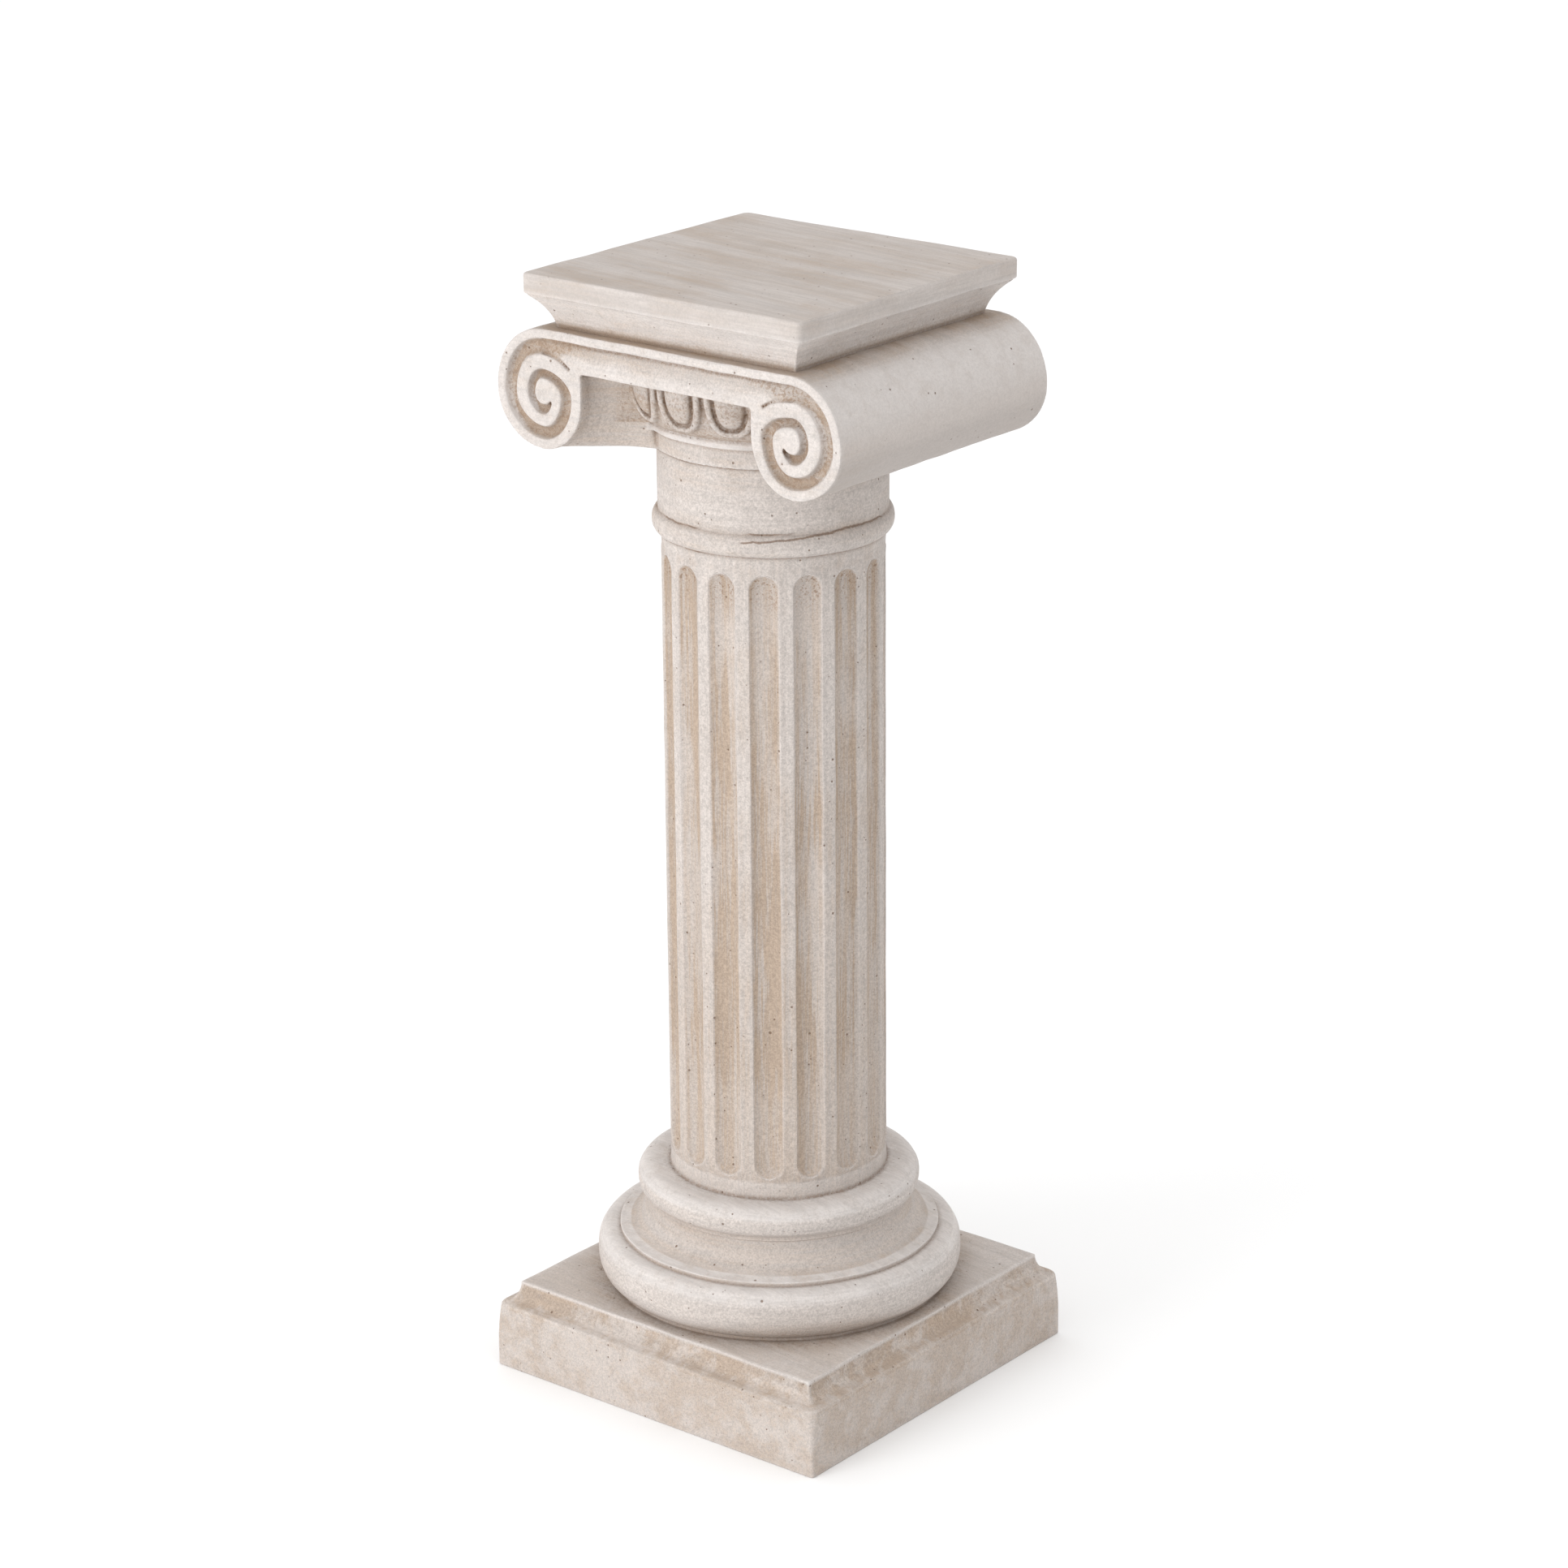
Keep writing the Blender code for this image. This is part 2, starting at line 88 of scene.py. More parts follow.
def settle(obj):
    """Replaces an object's mesh by what its modifiers make of it, and drops the modifiers."""
    bpy.context.view_layer.update()
    made = obj.evaluated_get(bpy.context.evaluated_depsgraph_get())
    mesh = bpy.data.meshes.new_from_object(made)
    obj.modifiers.clear()
    obj.data = mesh
    return obj


def combine(obj, tools, operation):
    """Joins other objects to one, or cuts them out of it, and removes them."""
    for tool in tools:
        step = obj.modifiers.new(tool.name, "BOOLEAN")
        step.operation = operation
        step.solver = "EXACT"
        step.object = tool
    settle(obj)
    for tool in tools:
        bpy.data.objects.remove(tool)
    return obj


def joined(name, parts):
    """One object from several separate bodies."""
    bm = bmesh.new()
    for part in parts:
        bm.from_mesh(part.data)
        bpy.data.objects.remove(part)
    return as_object(name, bm)


# %% [markdown]
# ## Heights
# Every moulding sits on the one below it. The heights are added up from the ground, with the same
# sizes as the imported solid, so that the dressed stand fills the same box.

# %% Sizes of the mouldings
PLINTH_WIDTH = high[1] - low[1]
CAPITAL_WIDTH = high[0] - low[0]
TOTAL_HEIGHT = high[2]

PLINTH_SIDE = 0.0448
PLINTH_ARRIS = 0.0018
PLINTH_SHELF_RISE = 0.0010
PLINTH_COVE_REACH = 0.0088
PLINTH_COVE_RISE = 0.0126
PLINTH_LEDGE = 0.0008
PLINTH_TOP_WIDTH = 0.2500
LOWER_TORUS_RADIUS = 0.1238
LOWER_TORUS_HEIGHT = 0.0364
FILLET_RADIUS = 0.1086
FILLET_HEIGHT = 0.0032
SCOTIA_RADIUS = 0.0203
SCOTIA_LIP_HEIGHT = 0.0026
UPPER_TORUS_RADIUS = 0.0956
UPPER_TORUS_HEIGHT = 0.0214
SHAFT_RADIUS = 0.0729
SHAFT_LENGTH = 0.4445
ASTRAGAL_HEIGHT = 0.0157
NECK_HEIGHT = 0.0422
NECK_BAND_HEIGHT = 0.0140
NECK_LIP_HEIGHT = 0.0056
SCROLL_CLEARANCE = 0.0006
SCROLL_HEIGHT = 0.0785
SLAB_HEIGHT = 0.0250
TOP_COVE_HEIGHT = 0.0212
TOP_SHADOW = 0.0016

PLINTH_TOP = PLINTH_SIDE + PLINTH_ARRIS + PLINTH_SHELF_RISE + PLINTH_COVE_RISE + PLINTH_LEDGE
FILLET_BOTTOM = PLINTH_TOP + LOWER_TORUS_HEIGHT
FILLET_TOP = FILLET_BOTTOM + FILLET_HEIGHT
SCOTIA_TOP = FILLET_TOP + SCOTIA_RADIUS
UPPER_TORUS_BOTTOM = SCOTIA_TOP + SCOTIA_LIP_HEIGHT
SHAFT_FOOT = UPPER_TORUS_BOTTOM + UPPER_TORUS_HEIGHT
SHAFT_HEAD = SHAFT_FOOT + SHAFT_LENGTH
NECK_FOOT = SHAFT_HEAD + ASTRAGAL_HEIGHT
BAND_FOOT = NECK_FOOT + NECK_HEIGHT
LIP_FOOT = BAND_FOOT + NECK_BAND_HEIGHT
ECHINUS_FOOT = LIP_FOOT + NECK_LIP_HEIGHT
SCROLL_TOP = BAND_FOOT + SCROLL_CLEARANCE + SCROLL_HEIGHT
SLAB_FOOT = SCROLL_TOP - SLAB_HEIGHT
FASCIA_FOOT = SCROLL_TOP + TOP_COVE_HEIGHT + TOP_SHADOW
BURIED = 0.0020
print("fascia", round(TOTAL_HEIGHT - FASCIA_FOOT, 4), "m high")

# %% [markdown]
# ## The turned base, shaft and neck
# On the real stand these are round because the model for the mould was turned. A lathe is the natural
# tool here too: one profile line is spun about the upright axis. The flutes are pressed in afterwards,
# so the line only needs rows of points where they begin and end.

# %% Profile of the column
UPPER_TORUS_ROUND = 0.0134
LOWER_TORUS_ROUND = 0.0182
LOWER_TORUS_SHOULDER = 0.0137
ASTRAGAL_PROJECTION = 0.0060
NECK_RADIUS = 0.0752
BAND_RADIUS = 0.0768
LIP_RADIUS = 0.0818
SHAFT_FLARE = 0.0009
SHAFT_FLARE_LENGTH = 0.0090
FLUTE_COUNT = 16
FLUTE_HALF = 0.0103
FLUTE_DEPTH = 0.0040
FLUTE_LOW = SHAFT_FOOT + 0.0138 + FLUTE_HALF
FLUTE_HIGH = SHAFT_HEAD - 0.0119 - FLUTE_HALF
RIM_WIDTH = 0.0016
RIM_START = 0.0005
ROWS_IN_FLUTE_END = 12
ROWS_ALONG_SHAFT = 14
FILLET_ARRIS = 0.0006
SCOTIA_LIP = ((0.0003, 0.0004), (0.0010, 0.0009))
SCOTIA_LIP_REACH = 0.0012
SHAFT_FOOT_ROWS = (0.0, 0.0015, 0.0040, 0.0070)
SHAFT_HEAD_ROWS = (0.0060, 0.0030, 0.0)


def shaft_radius(z):
    """The plain shaft's radius, which flares a little at both ends."""
    from_end = min(z - SHAFT_FOOT, SHAFT_HEAD - z)
    return SHAFT_RADIUS + SHAFT_FLARE * max(0.0, 1 - from_end / SHAFT_FLARE_LENGTH) ** 2


def flute_end_rows():
    """Distances of the rows from a flute's straight part, out over its round end and rim."""
    rows = [FLUTE_HALF * math.sin(math.radians(90 * i / ROWS_IN_FLUTE_END)) for i in range(ROWS_IN_FLUTE_END)]
    return rows + [FLUTE_HALF + past for past in (-0.0001, RIM_START, RIM_WIDTH, 2 * RIM_WIDTH)]


def column_profile():
    """The line of the whole column, from the plinth up to the band under the scrolls."""
    middle = PLINTH_TOP + LOWER_TORUS_HEIGHT / 2
    half = LOWER_TORUS_HEIGHT / 2
    lower = arc((LOWER_TORUS_RADIUS - LOWER_TORUS_ROUND, middle), (LOWER_TORUS_ROUND, half), -62, 0, 9)
    lower += arc((LOWER_TORUS_RADIUS - LOWER_TORUS_SHOULDER, middle), (LOWER_TORUS_SHOULDER, half),
                 8, 87, 12, 2.8)
    foot = [(lower[0][0], PLINTH_TOP - BURIED), (lower[0][0], PLINTH_TOP + 0.0008)]
    fillet = [(FILLET_RADIUS, FILLET_BOTTOM)]
    fillet += arc((FILLET_RADIUS - FILLET_ARRIS, FILLET_TOP - FILLET_ARRIS), (FILLET_ARRIS, FILLET_ARRIS),
                  0, 80, 3)
    scotia = arc((FILLET_RADIUS, SCOTIA_TOP), (SCOTIA_RADIUS, SCOTIA_RADIUS), -96, -180, 12)
    waist = FILLET_RADIUS - SCOTIA_RADIUS
    lip = [(waist + reach, SCOTIA_TOP + rise) for reach, rise in SCOTIA_LIP]
    lip.append((waist + SCOTIA_LIP_REACH, UPPER_TORUS_BOTTOM))
    upper = arc((UPPER_TORUS_RADIUS - UPPER_TORUS_ROUND, UPPER_TORUS_BOTTOM + UPPER_TORUS_HEIGHT / 2),
                (UPPER_TORUS_ROUND, UPPER_TORUS_HEIGHT / 2), -54, 90, 15, 2.4)
    ends = flute_end_rows()
    straight = FLUTE_HIGH - FLUTE_LOW
    heights = [SHAFT_FOOT + rise for rise in SHAFT_FOOT_ROWS]
    heights += [FLUTE_LOW - d for d in reversed(ends)]
    heights += [FLUTE_LOW + straight * i / ROWS_ALONG_SHAFT for i in range(1, ROWS_ALONG_SHAFT)]
    heights += [FLUTE_HIGH + d for d in ends]
    heights += [SHAFT_HEAD - drop for drop in SHAFT_HEAD_ROWS]
    shaft = [(shaft_radius(z), z) for z in heights]
    astragal = arc((SHAFT_RADIUS, SHAFT_HEAD + ASTRAGAL_HEIGHT / 2),
                   (ASTRAGAL_PROJECTION, ASTRAGAL_HEIGHT / 2), -68, 66, 12, 2.2)
    neck = [(NECK_RADIUS, NECK_FOOT + NECK_HEIGHT * i / 6) for i in range(7)]
    top = [(NECK_RADIUS, BAND_FOOT + NECK_BAND_HEIGHT)]
    return foot + lower + fillet + scotia + lip + upper + shaft + astragal + neck + top


# %% [markdown]
# The sixteen flutes are shallow round channels with round ends. Sinking them with a Boolean leaves
# long thin faces and a hard edge. Here the spun rows are moved instead: each flute owns sixteen
# columns of points, which gather at its edge, and are then pushed in along the radius. The edge comes
# out soft, with the faint raised rim that the brush whitens on the real one.

# %% Spin the column and press in the flutes
STEPS_PER_FLUTE = 16
PITCH = math.tau / FLUTE_COUNT
ROD_RADIUS = (FLUTE_HALF ** 2 + FLUTE_DEPTH ** 2) / (2 * FLUTE_DEPTH)
RIM_RAISE = 0.0003
COLUMN_SHARES = (0.0, 0.26, 0.50, 0.72, 0.89)
EDGE_SOFTNESS = 0.0012
EDGE_INSET = 0.0004
LEAST_SPREAD = 0.00015
MERGE = 0.000001


def flute_depth(reach):
    """How deep the flute is at a distance from its middle line or from the centre of its round end."""
    if reach >= FLUTE_HALF + RIM_WIDTH:
        return 0.0
    if reach >= FLUTE_HALF:
        across = (reach - FLUTE_HALF) / RIM_WIDTH
        return -RIM_RAISE * math.sin(math.pi * min(1.0, 0.45 + 0.55 * across))
    hollow = math.sqrt(ROD_RADIUS ** 2 - reach ** 2) - (ROD_RADIUS - FLUTE_DEPTH)
    edge = min(1.0, (FLUTE_HALF - reach) / EDGE_SOFTNESS)
    return hollow * edge - RIM_RAISE * (1 - edge)


def column_reach(index, over):
    """Distance of a column of points from the flute's middle line, at a distance past its straight part."""
    half_pitch = SHAFT_RADIUS * PITCH / 2
    outer = (FLUTE_HALF - EDGE_INSET, FLUTE_HALF + RIM_START, FLUTE_HALF + RIM_WIDTH)
    if index < len(COLUMN_SHARES):
        reach = FLUTE_HALF * COLUMN_SHARES[index]
        shrink = math.sqrt(max(0.0, 1 - (over / FLUTE_HALF) ** 2))
        return max(reach * shrink, index * LEAST_SPREAD)
    if index < STEPS_PER_FLUTE // 2:
        reach = outer[index - len(COLUMN_SHARES)]
        return max(math.sqrt(max(0.0, reach ** 2 - over ** 2)), index * LEAST_SPREAD)
    return half_pitch


def press_flutes(bm):
    """Moves the shaft's points so that they draw and sink the flutes."""
    last = FLUTE_HALF + 2 * RIM_WIDTH
    for vert in bm.verts:
        z = vert.co.z
        over = max(FLUTE_LOW - z, z - FLUTE_HIGH, 0.0)
        if over > last or not SHAFT_FOOT < z < SHAFT_HEAD:
            continue
        angle = math.atan2(vert.co.y, vert.co.x)
        place = round(angle / PITCH * STEPS_PER_FLUTE) % STEPS_PER_FLUTE - STEPS_PER_FLUTE // 2
        flute = round((angle - place * PITCH / STEPS_PER_FLUTE) / PITCH - 0.5)
        reach = column_reach(abs(place), over)
        centre = (flute + 0.5) * PITCH
        turn = centre + math.copysign(reach / SHAFT_RADIUS, place)
        radius = shaft_radius(z) - flute_depth(math.hypot(reach, over))
        vert.co.x = radius * math.cos(turn)
        vert.co.y = radius * math.sin(turn)


bm = bmesh.new()
line = [bm.verts.new((r, 0.0, z)) for r, z in column_profile()]
edges = [bm.edges.new(pair) for pair in zip(line, line[1:])]
bmesh.ops.spin(bm, geom=line + edges, cent=(0, 0, 0), axis=(0, 0, 1), angle=math.tau,
               steps=FLUTE_COUNT * STEPS_PER_FLUTE, use_merge=True)
bmesh.ops.remove_doubles(bm, verts=bm.verts, dist=MERGE)
bmesh.ops.holes_fill(bm, edges=bm.edges, sides=0)
press_flutes(bm)
bmesh.ops.triangulate(bm, faces=[face for face in bm.faces if len(face.verts) > 4])
column = as_object("column", bm)
print("column", len(column.data.vertices), "points")

# %% [markdown]
# ## Plinth and top plate
# Both are square mouldings, and nothing on them is as true as a ruler would draw it. Extruding a square
# face would give only four points a ring. Lofting rings with many points a side costs little, lets each
# ring have its own corner, sharp above and worn round below, and leaves points for the hand-made sway.

# %% Rings, lofts and hand-made sway
SIDE_STEPS = 34
CORNER_STEPS = 6
STILL_HEIGHT = 0.020
PLATE_SWAY = (0.0005, 0.035)
COLUMN_SWAY = (0.0003, 0.022)
CAPITAL_SWAY = (0.0004, 0.018)
SWAY_SEED = 1
noise.seed_set(SWAY_SEED)


def rounded_square(half, z, corner):
    """A ring of points round a square with rounded corners."""
    points = []
    straight = half - corner
    for quarter in range(4):
        turn = Matrix.Rotation(math.tau / 4 * quarter, 3, "Z")
        bend = arc((straight, straight), (corner, corner), 0, 90, CORNER_STEPS)
        side = [(straight - 2 * straight * i / SIDE_STEPS, half) for i in range(1, SIDE_STEPS)]
        points += [turn @ Vector((x, y, z)) for x, y in bend + side]
    return points


def loft(name, rings):
    """A closed body through rings of points, each ring with the same number of points."""
    bm = bmesh.new()
    loops = []
    for ring in rings:
        verts = [bm.verts.new(point) for point in ring]
        loops.append([bm.edges.new((verts[i - 1], verts[i])) for i in range(len(verts))])
    for lower, upper in zip(loops, loops[1:]):
        bmesh.ops.bridge_loops(bm, edges=lower + upper)
    bmesh.ops.holes_fill(bm, edges=bm.edges, sides=0)
    bmesh.ops.triangulate(bm, faces=bm.faces)
    return as_object(name, bm)


def sway(obj, amount, size):
    """Moves every point a little, as noise of a size says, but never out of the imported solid's box."""
    for vert in obj.data.vertices:
        off_ground = min(1.0, vert.co.z / STILL_HEIGHT)
        moved = vert.co + noise.noise_vector(vert.co / size) * amount * off_ground
        vert.co = [min(max(value, bottom), top) for value, bottom, top in zip(moved, low, high)]


# %% Plinth and top plate
TOP_WIDTH = 0.2262
TOP_FOOT_WIDTH = 0.1946
TOP_UNDERCUT = 0.0030
TOP_COVE_SAG = 0.0023
ARRIS = 0.0012
TOP_EDGE = 0.0019
FASCIA_CORNER = 0.0042
COVE_CORNER = 0.0008
SLIGHT = 0.0003
FOOT_ARRIS = 0.0010
SIDE_LEVELS = (0.12, 0.3, 0.5, 0.7, 0.9)
FOOT_CORNER = 0.0022
TOP_CORNER = 0.0010
CORNER_WEAR = 0.0060
DECK_SHARE = 0.97
COVE_STEPS = 14


def plinth_rings():
    """The plinth's rings: an upright side that wears rounder near its top, a cove, a ledge and the deck."""
    half = PLINTH_WIDTH / 2
    top_half = PLINTH_TOP_WIDTH / 2
    foot = arc((half - FOOT_ARRIS, FOOT_ARRIS), (FOOT_ARRIS, FOOT_ARRIS), -90, 0, 3)
    side = [(half, PLINTH_SIDE * share) for share in SIDE_LEVELS]
    arris = arc((half - PLINTH_ARRIS, PLINTH_SIDE), (PLINTH_ARRIS, PLINTH_ARRIS), 0, 90, 5)
    cove = arc((top_half + PLINTH_LEDGE + PLINTH_COVE_REACH, PLINTH_TOP - PLINTH_LEDGE),
               (PLINTH_COVE_REACH, PLINTH_COVE_RISE), -90, -180, 12)
    ledge = arc((top_half, PLINTH_TOP - PLINTH_LEDGE), (PLINTH_LEDGE, PLINTH_LEDGE), 20, 90, 3)
    deck = [(top_half * DECK_SHARE, PLINTH_TOP)]
    rings = []
    for w, z in foot + side + arris:
        rings.append(rounded_square(w, z, FOOT_CORNER + CORNER_WEAR * (z / PLINTH_SIDE) ** 3))
    for w, z in cove + ledge + deck:
        out = max(0.0, (w - top_half) / PLINTH_COVE_REACH - 0.2)
        rings.append(rounded_square(w, z, TOP_CORNER + CORNER_WEAR * out ** 2))
    return rings


def top_rings():
    """The top plate's rings: a cove that leans out, a shadow line, the fascia and the deck."""
    foot = TOP_FOOT_WIDTH / 2
    head = TOP_WIDTH / 2 - TOP_UNDERCUT
    length = math.hypot(head - foot, TOP_COVE_HEIGHT)
    across = (-TOP_COVE_HEIGHT / length, (head - foot) / length)
    cove = [(foot, SCROLL_TOP - BURIED)]
    for i in range(COVE_STEPS + 1):
        along = i / COVE_STEPS
        sag = TOP_COVE_SAG * 4 * along * (1 - along)
        cove.append((foot + (head - foot) * along + across[0] * sag,
                     SCROLL_TOP + TOP_COVE_HEIGHT * along + across[1] * sag))
    outer = TOP_WIDTH / 2
    under = arc((outer - ARRIS, FASCIA_FOOT + ARRIS), (ARRIS, ARRIS), -90, 0, 4)
    rise = TOTAL_HEIGHT - FASCIA_FOOT
    fascia = [(outer, FASCIA_FOOT + rise * share) for share in (0.35, 0.65)]
    over = arc((outer - TOP_EDGE, TOTAL_HEIGHT - TOP_EDGE), (TOP_EDGE, TOP_EDGE), 0, 90, 6)
    deck = [(outer * DECK_SHARE, TOTAL_HEIGHT)]
    rings = [rounded_square(w, z, COVE_CORNER) for w, z in cove]
    return rings + [rounded_square(w, z, FASCIA_CORNER) for w, z in under + fascia + over + deck]


plinth = loft("plinth", plinth_rings())
top_plate = loft("top_plate", top_rings())
for piece in (plinth, top_plate):
    sway(piece, *PLATE_SWAY)
    print(piece.name, len(piece.data.polygons), "faces")
sway(column, *COLUMN_SWAY)

# %% [markdown]
# ## The capital
# Two rolls run from face to face, and a slab joins them under the top plate. On each face a band winds
# in to the roll's eye, beside a groove that gets narrower. The band's reach from the eye is named at
# every quarter turn, and quarter ellipses join those reaches: the way a mason lays out a volute with a
# pair of compasses. The closed outline is drawn through along Y, and the groove and the channel
# between the scrolls are cut out of it.

# %% The scroll's outline and groove
BAND_OUTER = (0.538, 0.489, 0.462, 0.414, 0.326, 0.283, 0.269, 0.197,
              0.126, 0.079, 0.089, 0.100)
BAND_INNER = (0.464, 0.407, 0.380, 0.310, 0.206, 0.162, 0.176, 0.104)
QUARTER_STEPS = 14
CAPITAL_DEPTH = 0.2156
GROOVE_DEPTH = 0.0044
CREASE_WIDTH = 0.0022
CREASE_DEPTH = 0.0022
GROOVE_SLOPE = 0.14
CREASE_SLOPE = 0.10
WALL_SHARE = 0.72
FLOOR_INSET = 2.2
CHANNEL_SWELL = 0.0120
EYE_X = CAPITAL_WIDTH / 2 - BAND_OUTER[1] * SCROLL_HEIGHT
EYE_Z = SCROLL_TOP - BAND_OUTER[0] * SCROLL_HEIGHT
CHANNEL_TOP = EYE_Z + BAND_INNER[0] * SCROLL_HEIGHT
FACE_Y = CAPITAL_DEPTH / 2


def scroll_edge(reaches, first, last):
    """Points along an edge of the scroll's band, in X and Z from the eye, between two quarter turns."""
    points = []
    for quarter in range(first, last):
        for step in range(QUARTER_STEPS):
            turn = math.pi / 2 * (quarter + step / QUARTER_STEPS)
            across, upright = (quarter + 1, quarter) if quarter % 2 == 0 else (quarter, quarter + 1)
            points.append((reaches[across] * SCROLL_HEIGHT * math.sin(turn),
                           reaches[upright] * SCROLL_HEIGHT * math.cos(turn)))
    turn = math.pi / 2 * last
    reach = reaches[last] * SCROLL_HEIGHT
    points.append((reach * math.sin(turn), reach * math.cos(turn)))
    return points


def prism(name, outline, start, end):
    """A closed body between two depths, drawn along Y from an outline of X and Z pairs."""
    bm = bmesh.new()
    face = bm.faces.new([bm.verts.new((x, start, z)) for x, z in outline])
    grown = bmesh.ops.extrude_face_region(bm, geom=[face])
    moved = [v for v in grown["geom"] if isinstance(v, bmesh.types.BMVert)]
    bmesh.ops.translate(bm, vec=(0, end - start, 0), verts=moved)
    return as_object(name, bm)


def winding_cutter(name, mirror, face, far, near, depth, slope):
    """A cutter between two edges of a winding groove: narrow at its floor, wide at the face."""
    wall = -depth * WALL_SHARE
    floor = FLOOR_INSET * slope
    section = ((-slope, BURIED), (slope, wall), (floor, -depth),
               (1 - floor, -depth), (1 - slope, wall), (1 + slope, BURIED))
    rings = []
    for (far_x, far_z), (near_x, near_z) in zip(far, near):
        ring = []
        for share, y in section:
            x = far_x + (near_x - far_x) * share
            z = far_z + (near_z - far_z) * share
            ring.append((mirror * (EYE_X + x), face * (FACE_Y + y), EYE_Z + z))
        rings.append(ring)
    return loft(name, rings)


def groove_cutter(mirror, face):
    """The cutter of one scroll's groove, a band that narrows as it winds in to the eye."""
    last = len(BAND_INNER) - 1
    far = scroll_edge(BAND_INNER, 0, last)
    near = scroll_edge(BAND_OUTER[4:], 0, last)
    return winding_cutter("groove", mirror, face, far, near, GROOVE_DEPTH, GROOVE_SLOPE)


def crease_cutter(mirror, face):
    """The cutter of the thin line between the scroll's band and the channel, down to the channel's lip."""
    near = [point for point in scroll_edge(BAND_OUTER, 3, 4) if EYE_Z + point[1] > SLAB_FOOT - 0.001]
    far = []
    for x, z in near:
        grow = 1 + CREASE_WIDTH / math.hypot(x, z)
        far.append((x * grow, z * grow))
    return winding_cutter("crease", mirror, face, far, near, CREASE_DEPTH, CREASE_SLOPE)


def channel_cutter(face):
    """The cutter of the channel between the scrolls: deep at the rim, swelling out to its lower lip."""
    shelf = [(EYE_X + x, EYE_Z + z) for x, z in scroll_edge(BAND_OUTER, 3, 4)]
    shelf = [point for point in shelf if point[1] > SLAB_FOOT + BURIED]
    overlap = (EYE_X + BURIED, shelf[-1][1] + BURIED)
    half = [(x, z, CHANNEL_TOP) for x, z in shelf] + [overlap + (CHANNEL_TOP - BURIED,)]
    deep = GROOVE_DEPTH - SLIGHT
    rings = []
    for x, floor, roof in [(-x, z, top) for x, z, top in reversed(half)] + half:
        swell = min(1.0, max(0.0, (EYE_X - abs(x)) / (EYE_X - shelf[0][0])))
        section = ((FACE_Y + BURIED, floor),
                   (FACE_Y - deep * (1 - swell) + SLIGHT * swell, floor),
                   (FACE_Y - deep * (1 - swell * 0.4), floor + (0.2 + 0.8 * swell) * CHANNEL_SWELL),
                   (FACE_Y - deep, roof),
                   (FACE_Y + BURIED, roof))
        rings.append([(x, face * y, z) for y, z in section])
    return loft("channel", rings)


right = [(EYE_X + x, EYE_Z + z) for x, z in scroll_edge(BAND_OUTER, 0, 3)]
right.append((right[-1][0], SLAB_FOOT))
outline = right + [(-x, z) for x, z in reversed(right)]
capital = prism("capital", outline, -FACE_Y, FACE_Y)
corners = [(mirror, face) for mirror in (-1, 1) for face in (-1, 1)]
grooves = joined("grooves", [groove_cutter(*corner) for corner in corners])
creases = joined("creases", [crease_cutter(*corner) for corner in corners])
combine(capital, [grooves, creases] + [channel_cutter(face) for face in (-1, 1)], "DIFFERENCE")
print("scrolls", len(capital.data.polygons), "faces")

# %% [markdown]
# Behind each pair of scrolls a wall sweeps in from the scroll's rim to the neck, a little hollow. It is
# lofted: a closed ring of points at each of a few heights, bridged one to the next.

# %% The hollow walls behind the scrolls
WEB_REACH = 0.0437
WEB_FOOT_BACK = 0.0645
WEB_HEAD_BACK = 0.0860
WEB_HOLLOW = 0.0045
WEB_STEPS = 10
WEB_LEVELS = 14


def web(mirror):
    """The wall behind a pair of scrolls on one side."""
    foot = BAND_FOOT + SCROLL_CLEARANCE + SLIGHT
    head = SLAB_FOOT + BURIED
    eye_drop = BAND_OUTER[2] * SCROLL_HEIGHT
    rings = []
    for level in range(WEB_LEVELS + 1):
        rise = level / WEB_LEVELS
        z = foot + (head - foot) * rise
        below = min(1.0, max(0.0, (EYE_Z - z) / eye_drop))
        rim_x = EYE_X - BAND_OUTER[3] * SCROLL_HEIGHT * math.sqrt(1 - below ** 2) + BURIED
        rim_y = FACE_Y - GROOVE_DEPTH - 2 * SLIGHT
        neck_y = WEB_FOOT_BACK + (WEB_HEAD_BACK - WEB_FOOT_BACK) * rise
        front = [(EYE_X, rim_y)]
        length = math.hypot(rim_x - WEB_REACH, rim_y - neck_y)
        normal = ((rim_y - neck_y) / length, -(rim_x - WEB_REACH) / length)
        for step in range(WEB_STEPS + 1):
            along = step / WEB_STEPS
            sag = WEB_HOLLOW * 4 * along * (1 - along)
            front.append((rim_x + (WEB_REACH - rim_x) * along + normal[0] * sag,
                          rim_y + (neck_y - rim_y) * along + normal[1] * sag))
        front.append((WEB_REACH / 2, neck_y / 2))
        ring = [(mirror * x, y, z) for x, y in front]
        rings.append(ring + [(mirror * x, -y, z) for x, y in reversed(front)])
    return loft("web", rings)


webs = [web(mirror) for mirror in (-1, 1)]
print("webs", sum(len(w.data.polygons) for w in webs), "faces")

# %% [markdown]
# Between the scrolls a round swelling, the echinus, carries a row of eggs, each in a shell. The swelling
# is spun with the band and the lip under it. One egg is lofted through rings that lie on the swelling,
# from the egg's crown out to the shell's rim, and is then placed every sixteenth of a turn.

